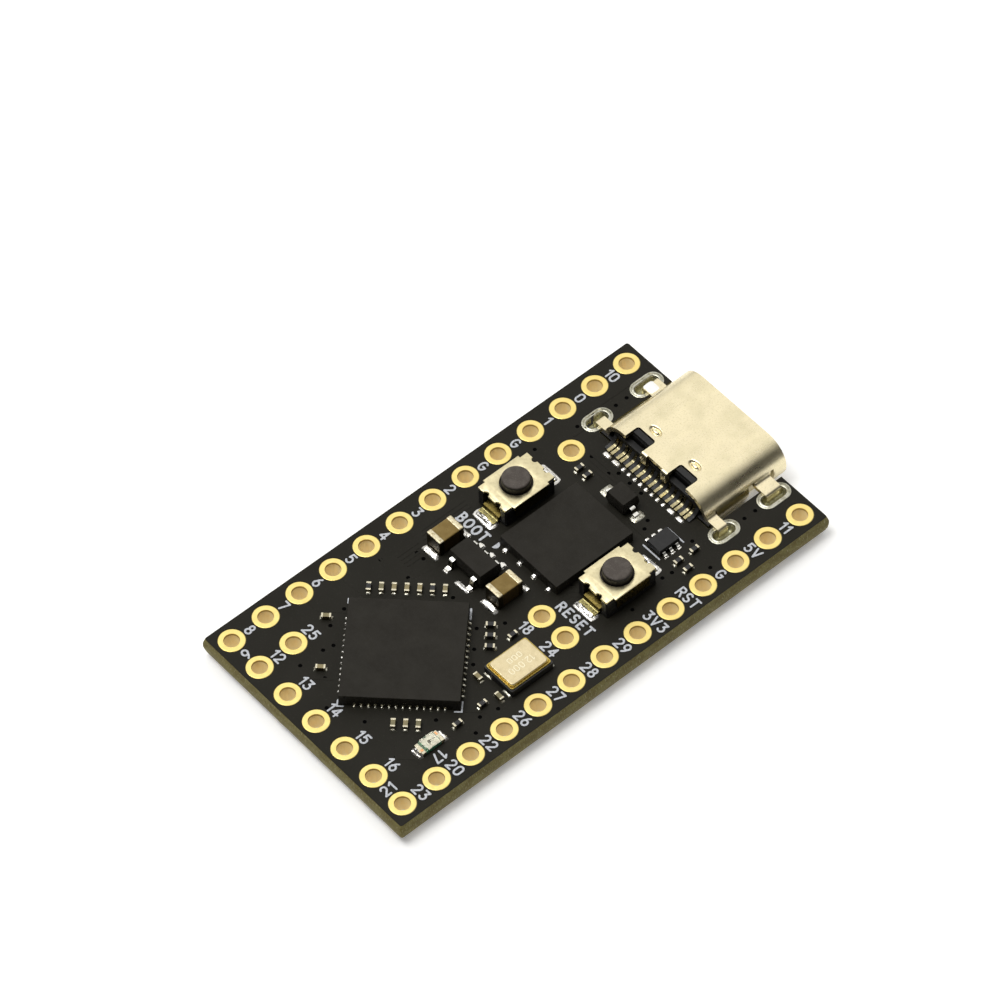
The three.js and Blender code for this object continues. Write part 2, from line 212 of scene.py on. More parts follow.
def look(name, colour, roughness, metallic, tints, rough, bumps, **sockets):
    """Makes a material from layers.

    A field is the (size, detail, stretch) of some noise, or a function of the shader. A tint is
    (field, low, high, colour), `rough` is (field, low, high) and a bump is (field, depth).
    """
    shader = Shader(name, colour, roughness, metallic, **sockets)

    def value(field):
        return field(shader) if callable(field) else shader.noise(*field)

    for field, low, high, other in tints:
        shader.tint(value(field), low, high, other)
    if rough:
        field, low, high = rough
        shader.vary_roughness(value(field), low, high)
    for field, depth in bumps:
        shader.bump(value(field), depth)
    return shader.material


def make_floor():
    """A pale floor with a faint glow, which stops under the socket's rear so that no light leaks up there."""
    glow = 0.24
    shader = Shader("floor", (0.93, 0.93, 0.925), 0.85, Specular_IOR_Level=0.1,
                    Emission_Color=(1, 1, 1, 1), Emission_Strength=glow)
    shader.tint(shader.noise(40, 2), 0.4, 0.6, (0.94, 0.94, 0.935))
    unlit = shader.inside(-5.4, 5.4, 9.4, 14.2, 0.4)
    shader.link(shader.remap(unlit, 0, 1, glow, 0.0), shader.bsdf.inputs["Emission Strength"])
    return shader.material


MATERIALS = {
    "mask": look(
        "solder_mask", (0.0150, 0.0137, 0.0095), 0.42, 0.0,
        [((2.6, 4), 0.35, 0.75, (0.0190, 0.0174, 0.0128)),
         ((0.09, 2), 0.62, 0.78, (0.030, 0.028, 0.0215))],
        ((0.8, 3), 0.36, 0.5), [((0.35, 4), 0.004), ((0.07, 2), 0.0012)], Specular_IOR_Level=0.11),
    "laminate": look(
        "laminate", (0.140, 0.113, 0.028), 0.62, 0.0,
        [((0.9, 4, (1, 1, 2)), 0.42, 0.66, (0.19, 0.165, 0.050)),
         ((0.07, 3, (1, 1, 0.3)), 0.55, 0.7, (0.27, 0.245, 0.115)),
         ((0.12, 3, (1, 1, 2.2)), 0.58, 0.75, (0.060, 0.045, 0.008))],
        None, [((0.09, 3), 0.012)], Specular_IOR_Level=0.2),
    "gold": look(
        "gold_plating", (0.93, 0.755, 0.28), 0.36, 1.0,
        [((0.5, 3), 0.35, 0.7, (0.89, 0.70, 0.24)),
         ((0.06, 2), 0.62, 0.8, (0.86, 0.63, 0.18))],
        ((0.2, 3), 0.30, 0.46), [((0.05, 2), 0.0015)]),
    "barrel": look(
        "plated_barrel", (1.0, 0.84, 0.50), 0.5, 0.0,
        [((0.25, 3, (1, 1, 0.4)), 0.35, 0.7, (1.0, 0.88, 0.58)),
         ((0.07, 3), 0.56, 0.72, (1.0, 0.78, 0.42)),
         # painted shade: the wall turns dark brown above TOP - 0.12, fading in from TOP - 0.16, just under
         # the pad's rim where the rim's shadow falls
         (along("Z", TOP - 0.16, TOP - 0.12), 0, 1, (0.52, 0.36, 0.12))],
        ((0.1, 3), 0.42, 0.62), [((0.08, 3), 0.012)]),
    "solder": look(
        "solder", (0.93, 0.91, 0.86), 0.18, 1.0,
        [((0.18, 3), 0.5, 0.75, (0.55, 0.53, 0.47))],
        ((0.12, 3), 0.13, 0.36), [((0.16, 3), 0.03), ((0.04, 2), 0.003)]),
    # dull solder for small joints; on three sides of the microcontroller it is also painted shade beside the
    # bright solder on the side towards the key lamp
    "dull_solder": look(
        "dull_solder", (0.55, 0.54, 0.46), 0.26, 1.0,
        [((0.15, 3), 0.45, 0.65, (0.22, 0.20, 0.15))],
        ((0.1, 3), 0.18, 0.42), [((0.1, 3), 0.02)]),
    "slot_ring": look(
        "slot_ring", (0.56, 0.55, 0.46), 0.32, 1.0,
        [((0.22, 4), 0.45, 0.66, (0.36, 0.35, 0.26))],
        ((0.15, 3), 0.26, 0.5), [((0.12, 3), 0.012)]),
    # painted highlight: near-white metal for the thin sheet on the front-left leg's top, standing for a
    # bright reflection there
    "leg_painted_highlight": look(
        "leg_painted_highlight", (1.0, 1.0, 0.98), 0.3, 0.6,
        [((0.2, 3), 0.55, 0.75, (0.93, 0.92, 0.88))],
        None, [((0.1, 3), 0.004)]),
    "slot_plating": look(
        "slot_plating", (0.40, 0.39, 0.24), 0.32, 0.8,
        [((0.2, 3), 0.5, 0.7, (0.20, 0.185, 0.09))],
        ((0.15, 3), 0.26, 0.5), [((0.09, 3), 0.008)]),
    "shell": look(
        "socket_nickel", (0.90, 0.80, 0.54), 0.3, 1.0,
        [((1.3, 5), 0.45, 0.68, (0.80, 0.715, 0.47)),
         ((0.10, 4), 0.52, 0.74, (0.70, 0.625, 0.40)),
         ((0.05, 2), 0.62, 0.74, (1.0, 0.93, 0.74))],
        ((0.5, 4, (1, 0.3, 1)), 0.24, 0.38), [((0.045, 3), 0.0022), ((0.6, 3), 0.003)]),
    "cover_metal": look(
        "button_cover_metal", (0.76, 0.68, 0.43), 0.34, 1.0,
        [((0.22, 4), 0.45, 0.72, (0.66, 0.575, 0.35)),
         ((0.05, 2), 0.62, 0.8, (0.88, 0.80, 0.60))],
        ((0.3, 3), 0.28, 0.46), [((0.06, 3), 0.003)]),
    "terminal_metal": look(
        "terminal_metal", (0.62, 0.55, 0.24), 0.28, 1.0,
        [((0.2, 3), 0.45, 0.7, (0.42, 0.36, 0.13)),
         # painted shade: the metal turns near-black above TOP + 0.26, fading in from TOP + 0.20, for the
         # shade under the button's cover; the cover skirts use this material too
         (along("Z", TOP + 0.20, TOP + 0.26), 0, 1, (0.085, 0.065, 0.018))],
        ((0.15, 3), 0.2, 0.42), [((0.1, 3), 0.003)]),
    "contact_metal": look(
        "contact_metal", (0.50, 0.44, 0.26), 0.25, 1.0,
        [((0.2, 3), 0.5, 0.75, (0.30, 0.25, 0.11)),
         # painted shade: the tails fade to near-black from y 10.30 to 10.95 as they rise under the moulding
         # and shell, and the fingers on the tongue are near-black all over
         (along("Y", 10.30, 10.95), 0, 1, (0.02, 0.016, 0.008))],
        ((0.1, 3), 0.18, 0.36), [((0.08, 2), 0.004)]),
    "spring_steel": look(
        "spring_steel", (0.62, 0.61, 0.58), 0.3, 1.0,
        [],
        ((0.3, 3, (0.2, 1, 1)), 0.22, 0.4), [((0.05, 2), 0.002)]),
    "black_resin": look(
        "black_resin", (0.0075, 0.0073, 0.0072), 0.45, 0.0,
        [((0.3, 3), 0.5, 0.75, (0.014, 0.0135, 0.013))],
        ((0.2, 3), 0.38, 0.58), [((0.06, 3), 0.004)], Specular_IOR_Level=0.4),
    "chip_resin": look(
        "chip_resin", (0.020, 0.0178, 0.0136), 0.62, 0.0,
        [((1.2, 4), 0.4, 0.7, (0.025, 0.0226, 0.0176)),
         ((0.045, 2), 0.6, 0.75, (0.040, 0.037, 0.030))],
        ((0.3, 3), 0.55, 0.72), [((0.05, 3), 0.004)], Specular_IOR_Level=0.14),
    "plunger_resin": look(
        "plunger_resin", (0.074, 0.061, 0.051), 0.5, 0.0,
        [((0.4, 4), 0.45, 0.7, (0.105, 0.090, 0.076)),
         ((0.05, 2), 0.63, 0.76, (0.2, 0.18, 0.16)),
         # painted shade: the cap's upright sides are near-black
         (steep(0.35, 0.85), 0, 1, (0.014, 0.012, 0.010))],
        ((0.2, 3), 0.42, 0.62), [((0.12, 3), 0.012), ((0.04, 2), 0.004)], Specular_IOR_Level=0.25),
    "capacitor_body": look(
        "capacitor_ceramic", (0.21, 0.138, 0.036), 0.4, 0.0,
        [((0.5, 4), 0.4, 0.7, (0.26, 0.18, 0.055)),
         ((0.05, 2), 0.6, 0.78, (0.14, 0.09, 0.02)),
         # painted shade: upright faces are darker brown than the top
         (steep(0.2, 0.75), 0, 1, (0.05, 0.031, 0.010))],
        None, [((0.06, 3), 0.004)], Specular_IOR_Level=0.2),
    "tiny_capacitor_body": look(
        "tiny_capacitor_ceramic", (0.30, 0.25, 0.13), 0.4, 0.0,
        [((1.1, 2), 0.46, 0.6, (0.20, 0.18, 0.10)),
         ((0.05, 2), 0.6, 0.78, (0.38, 0.33, 0.20)),
         # painted shade: upright faces are darker brown than the top
         (steep(0.2, 0.75), 0, 1, (0.05, 0.036, 0.015))],
        None, [((0.06, 3), 0.004)], Specular_IOR_Level=0.2),
    "capacitor_end": look(
        "tinned_end", (0.70, 0.63, 0.44), 0.34, 1.0,
        [((0.16, 3), 0.50, 0.64, (0.42, 0.34, 0.19)),
         ((0.05, 2), 0.6, 0.75, (0.90, 0.84, 0.66)),
         # painted shade: the upright faces of the ends are near-black
         (steep(0.3, 0.75), 0, 1, (0.055, 0.042, 0.018))],
        ((0.1, 3), 0.3, 0.55), [((0.09, 3), 0.012)]),
    "tiny_end": look(
        "tiny_tinned_end", (0.70, 0.65, 0.49), 0.26, 1.0,
        [],
        ((0.1, 3), 0.18, 0.4), [((0.07, 3), 0.01)]),
    "lead_tin": look(
        "lead_tin", (0.95, 0.94, 0.88), 0.26, 1.0,
        [((0.1, 3), 0.55, 0.75, (0.70, 0.68, 0.58)),
         # painted shade: upright faces of the leads are dark
         (steep(0.35, 0.8), 0, 1, (0.10, 0.085, 0.05))],
        None, [((0.08, 3), 0.006)]),
    "resistor_body": look(
        "resistor_glaze", (0.013, 0.013, 0.014), 0.34, 0.0,
        [((0.1, 3), 0.5, 0.75, (0.024, 0.023, 0.023))],
        None, [((0.06, 3), 0.003)]),
    "black_ceramic": look(
        "black_ceramic", (0.011, 0.0105, 0.010), 0.55, 0.0,
        [((0.07, 3), 0.55, 0.75, (0.026, 0.025, 0.023))],
        None, [((0.06, 3), 0.006)]),
    "lid_metal": look(
        "crystal_lid_metal", (0.70, 0.595, 0.365), 0.36, 1.0,
        [((0.06, 3), 0.52, 0.7, (0.80, 0.70, 0.47)),
         ((0.4, 4), 0.5, 0.72, (0.60, 0.505, 0.30))],
        ((0.2, 3), 0.3, 0.46), [((0.045, 2), 0.003)]),
    "lid_mark": look(
        "crystal_lid_mark", (0.95, 0.90, 0.70), 0.5, 0.6,
        [((0.05, 2), 0.45, 0.6, (0.80, 0.70, 0.46))],
        None, [((0.04, 2), 0.003)]),
    "rim_gold": look(
        "crystal_rim_gold", (0.66, 0.50, 0.13), 0.24, 1.0,
        [((0.15, 3), 0.5, 0.7, (0.40, 0.29, 0.06))],
        ((0.1, 3), 0.16, 0.34), [((0.06, 2), 0.003)]),
    "ink": look(
        "label_ink", (0.60, 0.62, 0.66), 0.6, 0.0,
        [((0.12, 3), 0.42, 0.62, (0.43, 0.45, 0.48)),
         ((0.05, 2), 0.55, 0.7, (0.78, 0.80, 0.82))],
        None, [((0.05, 3), 0.004)]),
    # painted shade: a near-black disc with almost no gloss stands for the dark inside of each via's hole
    "via_well": look(
        "via_well", (0.001, 0.001, 0.001), 0.7, 0.0,
        [((0.05, 2), 0.5, 0.7, (0.002, 0.002, 0.002))],
        None, [((0.04, 2), 0.004)], Specular_IOR_Level=0.02),
    "green_laminate": look(
        "lamp_laminate", (0.05, 0.20, 0.11), 0.5, 0.0,
        [((0.08, 3), 0.45, 0.7, (0.12, 0.30, 0.20))],
        None, [((0.06, 3), 0.006)]),
    "bare_copper": look(
        "bare_copper", (0.85, 0.45, 0.22), 0.4, 0.9,
        [((0.06, 2), 0.5, 0.7, (0.70, 0.32, 0.14))],
        None, [((0.05, 2), 0.004)]),
    "lamp_reflector": look(
        "lamp_reflector", (0.86, 0.84, 0.70), 0.5, 0.0,
        [((0.12, 3), 0.5, 0.7, (0.95, 0.94, 0.82))],
        None, [((0.08, 3), 0.01)]),
    "lamp_lens": look(
        "lamp_lens", (1.0, 0.99, 0.92), 0.06, 0.0,
        [],
        ((0.2, 3), 0.03, 0.1), [((0.1, 3), 0.004)], IOR=1.12, Transmission_Weight=0.92),
    "lamp_die": look(
        "lamp_die", (0.09, 0.085, 0.05), 0.4, 0.0,
        [((0.06, 2), 0.5, 0.7, (0.16, 0.15, 0.09))],
        None, [((0.05, 2), 0.003)]),
    "floor": make_floor(),
}


# ---------------------------------------------------------------- shapes
BEVEL_ANGLE = 38
SAME_POINT = 1e-6


class Sculpt:
    """Collects closed shapes, drawn in millimetres, into one mesh."""

    def __init__(self):
        self.bm = bmesh.new()
        self.at = Matrix.Identity(4)

    def place(self, x, y, z=0.0, turn=0.0, across=0.0):
        """Draws what follows about this point, turned about the vertical and then moved along its own X."""
        self.at = Matrix.Translation((x, y, z)) @ Matrix.Rotation(turn, 4, "Z")
        self.at @= Matrix.Translation((across, 0, 0))
        return self

    def vert(self, x, y, z):
        return self.bm.verts.new(self.at @ Vector((x, y, z)))

    def face(self, *verts):
        return self.bm.faces.new(verts)

    def rings(self, rings, closed=False, capped=True):
        """Joins equal loops of vertices, with a flat cap on each end unless the rings close on themselves."""
        pairs = list(zip(rings, rings[1:]))
        if closed:
            pairs.append((rings[-1], rings[0]))
        for lower, upper in pairs:
            for i in range(len(lower)):
                j = (i + 1) % len(lower)
                self.face(lower[i], lower[j], upper[j], upper[i])
        if capped and not closed:
            self.face(*reversed(rings[0]))
            self.face(*rings[-1])

    def prism(self, outline, z0, z1):
        self.rings([[self.vert(x, y, z) for x, y in outline] for z in (z0, z1)])

    def block(self, x0, x1, y0, y1, z0, z1):
        """A box between two limits along each axis, given in either order."""
        (x0, x1), (y0, y1), (z0, z1) = sorted((x0, x1)), sorted((y0, y1)), sorted((z0, z1))
        self.prism([(x0, y0), (x1, y0), (x1, y1), (x0, y1)], z0, z1)

    def plate(self, outline, holes, z0, z1, edge=0.0):
        """A flat outline with holes between two heights, its edges rounded by `edge`."""
        shapes = [(outline, -1)] + [(hole, 1) for hole in holes]
        levels = [(z0, 0), (z1, 0)]
        if edge:
            levels = [(z0, edge), (z0 + edge * 0.3, edge * 0.3), (z0 + edge, 0),
                      (z1 - edge, 0), (z1 - edge * 0.3, edge * 0.3), (z1, edge)]
        rings = [[[self.vert(x, y, z) for x, y in grown(loop, side * inset)] for loop, side in shapes]
                 for z, inset in levels]
        loops = [[Vector((x, y, 0)) for x, y in grown(loop, side * edge)] for loop, side in shapes]
        upper = [v for loop in rings[-1] for v in loop]
        lower = [v for loop in rings[0] for v in loop]
        for a, b, c in tessellate_polygon(loops):
            self.face(upper[a], upper[b], upper[c])
            self.face(lower[c], lower[b], lower[a])
        for below, above in zip(rings, rings[1:]):
            for low, top in zip(below, above):
                for i in range(len(top)):
                    j = (i + 1) % len(top)
                    self.face(top[i], top[j], low[j], low[i])

    def lathe(self, profile, segments=40, closed=False):
        """Turns (radius, height) points about the vertical. Points on the axis become a pole."""
        angles = [TAU * i / segments for i in range(segments)]
        rings = []
        for radius, z in profile:
            around = angles if radius else [0.0]
            rings.append([self.vert(radius * math.cos(a), radius * math.sin(a), z) for a in around])
        pairs = list(zip(rings, rings[1:]))
        if closed:
            pairs.append((rings[-1], rings[0]))
        for lower, upper in pairs:
            for i in range(segments):
                j = (i + 1) % segments
                if len(lower) == 1:
                    self.face(lower[0], upper[j], upper[i])
                elif len(upper) == 1:
                    self.face(lower[i], lower[j], upper[0])
                else:
                    self.face(lower[i], lower[j], upper[j], upper[i])

    def strip(self, path, thickness, x0, x1):
        """Sheet of even thickness that follows a path of (y, z) points and spans x0 to x1."""
        left, right = offset_path(path, thickness / 2)
        self.slab(left + right[::-1], x0, x1)

    def slab(self, outline, x0, x1):
        """An outline of (y, z) points carried from x0 to x1."""
        self.rings([[self.vert(x, y, z) for y, z in outline] for x in (x0, x1)])

    def pillow(self, x0, x1, y0, y1, z, height, lean, lumps, seed, cells=9):
        """A reflowed lump of solder: a domed top on a flat foot, leaning higher towards one side."""
        (x0, x1), (y0, y1) = sorted((x0, x1)), sorted((y0, y1))
        squareness, corner_pinch, lump_step = 3.5, 0.12, 2.1
        grid = []
        for j in range(cells + 1):
            row = []
            for i in range(cells + 1):
                u = 2 * i / cells - 1
                v = 2 * j / cells - 1
                swell = ((1 - abs(u) ** squareness) * (1 - abs(v) ** squareness)) ** 0.5
                tilt = 1 + lean[0] * u + lean[1] * v
                lump = 1 + lumps * noise.noise(Vector((u * lump_step + seed, v * lump_step - seed, seed)))
                reach = 1 - corner_pinch * abs(u * v) ** 2
                x = (x0 + x1) / 2 + reach * u * (x1 - x0) / 2
                y = (y0 + y1) / 2 + reach * v * (y1 - y0) / 2
                row.append(self.vert(x, y, z + height * swell * tilt * lump))
            grid.append(row)
        for j in range(cells):
            for i in range(cells):
                self.face(grid[j][i], grid[j][i + 1], grid[j + 1][i + 1], grid[j + 1][i])
        border = grid[0][:-1] + [row[-1] for row in grid[:-1]]
        border += grid[-1][:0:-1] + [row[0] for row in grid[:0:-1]]
        self.face(*border[::-1])

    def ribbon(self, path, width, z0, z1, loop=False):
        """A flat printed or etched line with round ends."""
        path = [point for n, point in enumerate(path)
                if (n == 0 and not loop) or math.dist(point, path[n - 1]) > SAME_POINT]
        left, right = offset_path(path, width / 2, loop)
        rings = []
        for (ax, ay), (bx, by) in zip(left, right):
            rings.append([self.vert(ax, ay, z0), self.vert(bx, by, z0),
                          self.vert(bx, by, z1), self.vert(ax, ay, z1)])
        self.rings(rings, closed=loop)
        if not loop:
            for n, (x, y) in enumerate((path[0], path[-1])):
                self.prism(circle(x, y, width / 2, 12), z0 + 0.001, z1 - 0.0002 - 0.0001 * n)

    def mesh(self, name):
        """Everything drawn so far as a mesh in metres. Nothing more can be drawn."""
        bmesh.ops.scale(self.bm, vec=(MM, MM, MM), verts=self.bm.verts)
        mesh = bpy.data.meshes.new(name)
        self.bm.to_mesh(mesh)
        self.bm.free()
        return mesh

    def piece(self, name, material, slot, **options):
        """Makes the mesh a piece that rides on a CAD body."""
        bmesh.ops.recalc_face_normals(self.bm, faces=self.bm.faces)
        return finish_piece(name, self.mesh(name), material, slot, **options)


def add_bevel(obj, width, segments, angle):
    """Rounds every edge sharper than `angle` degrees."""
    modifier = obj.modifiers.new("edges", "BEVEL")
    modifier.width = width * MM
    modifier.segments = segments
    modifier.limit_method = "ANGLE"
    modifier.angle_limit = math.radians(angle)
    modifier.harden_normals = True


def finish_piece(name, mesh, material, slot, body="board", replaces=(), bevel=None, smooth=40):
    """Gives a mesh its material, edges and body. `bevel` is (width, segments)."""
    mesh.materials.append(MATERIALS[material])
    obj = bpy.data.objects.new(name, mesh)
    bpy.context.scene.collection.objects.link(obj)
    for polygon in mesh.polygons:
        polygon.use_smooth = True
    if bevel:
        add_bevel(obj, *bevel, angle=BEVEL_ANGLE)
    else:
        mesh.set_sharp_from_angle(angle=math.radians(smooth))
    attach(obj, body)
    if replaces:
        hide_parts(*replaces)
    return obj


def offset_path(path, distance, loop=False):
    """The two lines at `distance` on either side of a path, with mitred corners."""
    count = len(path)
    normals = []
    for i in range(count if loop else count - 1):
        (ax, ay), (bx, by) = path[i], path[(i + 1) % count]
        length = math.hypot(bx - ax, by - ay)
        normals.append(Vector((-(by - ay) / length, (bx - ax) / length)))
    left, right = [], []
    for i, (x, y) in enumerate(path):
        if loop:
            before, after = normals[i - 1], normals[i]
        else:
            before, after = normals[max(i - 1, 0)], normals[min(i, count - 2)]
        mitre = (before + after).normalized()
        side = mitre * (distance / max(mitre.dot(before), 0.35))
        left.append((x + side.x, y + side.y))
        right.append((x - side.x, y - side.y))
    return left, right


def grown(loop, distance):
    """A closed outline moved outwards by a distance."""
    if not distance:
        return loop
    area = sum(ax * by - bx * ay for (ax, ay), (bx, by) in zip(loop, loop[1:] + loop[:1]))
    left, right = offset_path(loop, distance, True)
    return right if area > 0 else left


def arc(cx, cy, rx, ry, start, end, steps=10):
    """Points on an ellipse between two angles in degrees."""
    angles = [math.radians(start + (end - start) * k / steps) for k in range(steps + 1)]
    return [(cx + rx * math.cos(a), cy + ry * math.sin(a)) for a in angles]


def circle(x, y, radius, steps=32):
    """A closed outline, without its last point doubled."""
    return arc(x, y, radius, radius, 0, 360, steps)[:-1]


def rounded(x0, x1, y0, y1, radius, steps):
    """A rectangle with round corners, counter-clockwise."""
    corners = [(x1 - radius, y1 - radius), (x0 + radius, y1 - radius),
               (x0 + radius, y0 + radius), (x1 - radius, y0 + radius)]
    return [point for n, (x, y) in enumerate(corners)
            for point in arc(x, y, radius, radius, 90 * n, 90 * n + 90, steps)]


def centred(half_x, half_y, radius, steps, inset=0.0):
    """A rectangle with round corners about the origin, moved in by `inset` all round."""
    return rounded(-half_x + inset, half_x - inset, -half_y + inset, half_y - inset, radius, steps)


# ---------------------------------------------------------------- circuit board
CHIP_SIDE = 7.0
HOLE_RADIUS = 0.5
PAD_RADIUS = 0.808
PAD_CLEARANCE = 0.07
MASK_GAP = 0.035
COLUMN_X = 3 * PITCH
FIRST_Y = 6 * PITCH
SIGNAL_HOLES = [(-4.9, 8.45), (-5.1, -12.7), (3.05, -0.8), (5.1, -0.8)]
CORNER_RADIUS = 0.15
NOTCH_HALF = 4.81
NOTCH_REAR = 10.6
SLOT_X = (5.17, 6.0)
SLOT_ROWS = [(14.12, 15.96), (10.29, 11.92)]
SLOT_END = 0.405
VIA_RADIUS = 0.13
VIAS = [
    (-5.66, 13.5), (5.66, 13.5), (-5.66, 12.65), (5.66, 12.65),
    (-3.75, 9.05), (-2.15, 8.95), (-1.75, 9.4), (-0.77, 9.4), (0.23, 9.4), (4.85, 9.28),
    (1.98, 8.35), (2.32, 7.8), (6.97, 8.77), (5.75, 6.88), (5.67, 6.2), (-6.4, 6.9),
    (-5.27, -3.2), (-4.68, -3.2), (-1.39, -3.75), (-4.22, -4.76), (-6.3, -5.1), (-5.0, -8.96),
    (-4.62, -10.32), (-3.42, -11.09), (-3.56, -11.75), (-1.98, -12.94), (-3.6, -13.43),
    (1.19, -4.17), (2.22, -5.24), (3.0, -5.99), (3.4, -7.0), (6.3, -6.95), (6.05, -8.1),
    (6.73, -9.0), (4.53, -10.1), (3.6, -9.6), (1.9, -13.2), (-0.3, -14.2), (4.9, -13.6),
    (2.6, 1.9), (-2.75, 1.6), (2.0, -2.7), (-6.0, 9.9), (6.2, 3.4),
]


def pin_holes():
    """Every plated hole: the signal holes, both long rows, and the five holes between them at the rear."""
    holes = list(SIGNAL_HOLES)
    for i in range(13):
        holes += [(-COLUMN_X, FIRST_Y - i * PITCH), (COLUMN_X, FIRST_Y - i * PITCH)]
    return holes + [((i - 2) * PITCH, -FIRST_Y) for i in range(5)]


def board_outline(inset):
    """The board's edge with the socket's notch, which never closes in."""
    x1, y1 = BOARD_HIGH.x - inset, BOARD_HIGH.y - inset
    notch = NOTCH_HALF + max(inset, 0)
    rear = NOTCH_REAR - max(inset, 0)
    points = []
    for side_x, side_y, start in ((-1, 1, 90), (-1, -1, 180), (1, -1, 270), (1, 1, 0)):
        points += arc(side_x * (x1 - CORNER_RADIUS), side_y * (y1 - CORNER_RADIUS),
                      CORNER_RADIUS, CORNER_RADIUS, start, start + 90, 6)
    return points + [(notch, y1), (notch, rear), (-notch, rear), (-notch, y1)]


def slot_outlines(gap):
    """The four slots for the socket's legs, each grown by `gap` all round."""
    outlines = []
    for side in (-1, 1):
        x0, x1 = sorted((side * SLOT_X[0], side * SLOT_X[1]))
        for low, high in SLOT_ROWS:
            outlines.append(rounded(x0 - gap, x1 + gap, low - gap, high + gap, SLOT_END + gap, 8))
    return outlines


def build_cut_edge():
    """The rough edge left by snapping the board from its panel: it leans out below the score."""
    edge = Sculpt()
    roughness, longest_side = 0.05, 0.45
    profile = [(0.12, 0.04), (0.02, 0.05), (-0.06, 0.2), (-0.10, 0.5), (-0.09, 0.75), (-0.04, 0.95),
               (0.0, TOP - 0.05), (0.12, TOP - 0.04)]
    rings = []
    for inset, z in profile:
        ring = []
        for x, y in finer(board_outline(inset), board_outline(0), longest_side):
            rough = roughness * noise.noise(Vector((x * 1.3, y * 1.3, z * 1.5))) if inset < 0 else 0
            ring.append(edge.vert(x * (1 + rough / BOARD_HIGH.x), y * (1 + rough / BOARD_HIGH.y), z))
        rings.append(ring)
    edge.rings(rings, closed=True)
    edge.piece("board_cut_edge", "laminate", "solder_mask", smooth=60)


def finer(loop, like, longest):
    """Adds points to an outline's long sides, judged on the sides of a similar outline."""
    points = []
    for i, (ax, ay) in enumerate(loop):
        bx, by = loop[(i + 1) % len(loop)]
        parts = max(1, round(math.dist(like[i], like[(i + 1) % len(like)]) / longest))
        points += [(ax + (bx - ax) * k / parts, ay + (by - ay) * k / parts) for k in range(parts)]
    return points


def build_board():
    """The laminate, its rough edge, and a sheet of mask on each face that leaves the pads open."""
    holes = pin_holes()
    core = Sculpt()
    bores = [circle(x, y, HOLE_RADIUS) for x, y in holes]
    core.plate(board_outline(0), bores + slot_outlines(0), MASK, TOP - MASK)
    core.piece("board_laminate", "laminate", "solder_mask", replaces=["circuit_board"])
    build_cut_edge()
    openings = [circle(x, y, PAD_RADIUS + MASK_GAP) for x, y in holes]
    wells = [circle(x, y, VIA_RADIUS, 12) for x, y in VIAS]
    for name, z0, z1 in (("mask_top", TOP - MASK, TOP), ("mask_underside", 0, MASK)):
        mask = Sculpt()
        mask.plate(board_outline(0.02), openings + wells + slot_outlines(0.1), z0, z1)
        mask.piece(name, "mask", "solder_mask")


def build_plated_holes():
    """A ring of copper on each face of every hole, and a wall between them that narrows downwards."""
    rings = Sculpt()
    barrels = Sculpt()
    rounding = 0.012
    wall = [(0.001, MASK), (0.001, TOP - MASK), (0.014, TOP - MASK), (0.05, TOP - 0.3), (0.10, MASK)]
    for x, y in pin_holes():
        rings.place(x, y)
        barrels.place(x, y)
        for inner, outside, inside in ((HOLE_RADIUS - 0.012, TOP + COPPER_RISE, TOP - MASK),
                                       (HOLE_RADIUS - 0.105, -COPPER_RISE, MASK)):
            step = math.copysign(rounding, outside - inside)
            rings.lathe([(inner, inside), (inner, outside - step * 0.3), (inner + 0.004, outside),
                         (inner + 0.02, outside), (PAD_RADIUS - 0.03, outside), (PAD_RADIUS - 0.015, outside),
                         (PAD_RADIUS, outside - step), (PAD_RADIUS, inside)], 48, closed=True)
        barrels.lathe([(HOLE_RADIUS - depth, z) for depth, z in wall], 48, closed=True)
    rings.piece("pin_pads", "gold", "gold_plate")
    barrels.piece("pin_hole_barrels", "barrel", "gold_plate")


def build_vias():
    """Tiny holes: a near-black disc at each face, painted shade for the hole's dark inside, and a collar of
    mask around the upper one.
    """
    wells = Sculpt()
    collars = Sculpt()
    for x, y in VIAS:
        for z0, z1 in ((TOP - MASK, TOP - MASK + 0.006), (MASK - 0.006, MASK)):
            wells.place(x, y)
            wells.lathe([(0, z0), (VIA_RADIUS, z0), (VIA_RADIUS, z1), (0, z1)], 12)
        collars.place(x, y)
        collar = [(0, -0.002), (0.02, 0.003), (0.09, 0.003), (0.12, -0.002)]
        collars.lathe([(VIA_RADIUS + out, TOP + rise) for out, rise in collar], 16, closed=True)
    wells.piece("via_wells", "via_well", "solder_mask")
    collars.piece("via_collars", "mask", "solder_mask")


def build_slot_plating():
    """Each slot has a plated ring on both faces and is filled with solder that climbs its wall."""
    rings = Sculpt()
    solder = Sculpt()
    profile = [(0.25, -0.03), (0.24, 0.022), (0.225, 0.034), (0.14, 0.034), (0.115, 0.004), (0.075, 0.004),
               (0.05, 0.022), (0.0, 0.024), (-0.05, -0.01), (-0.085, -0.09), (-0.04, -0.16), (0.0, -0.16)]
    climb = [(0.0, -0.12), (-0.06, -0.12), (-0.11, -0.24), (-0.18, -0.36), (-0.30, -0.44)]
    for slot in range(4):
        loops = [(slot_outlines(gap)[slot], rise) for gap, rise in profile]
        for face, up in ((TOP, 1), (0, -1)):
            rings.rings([[rings.vert(x, y, face + up * rise) for x, y in outline] for outline, rise in loops],
                        closed=True)
        loops = [(slot_outlines(gap)[slot], TOP + rise) for gap, rise in climb[::-1]]
        loops += [(outline, TOP - z) for outline, z in loops[::-1]]
        solder.rings([[solder.vert(x, y, z) for x, y in outline] for outline, z in loops])
    rings.piece("slot_rings", "slot_ring", "solder", smooth=50)
    solder.piece("slot_solder", "slot_plating", "solder", smooth=70)


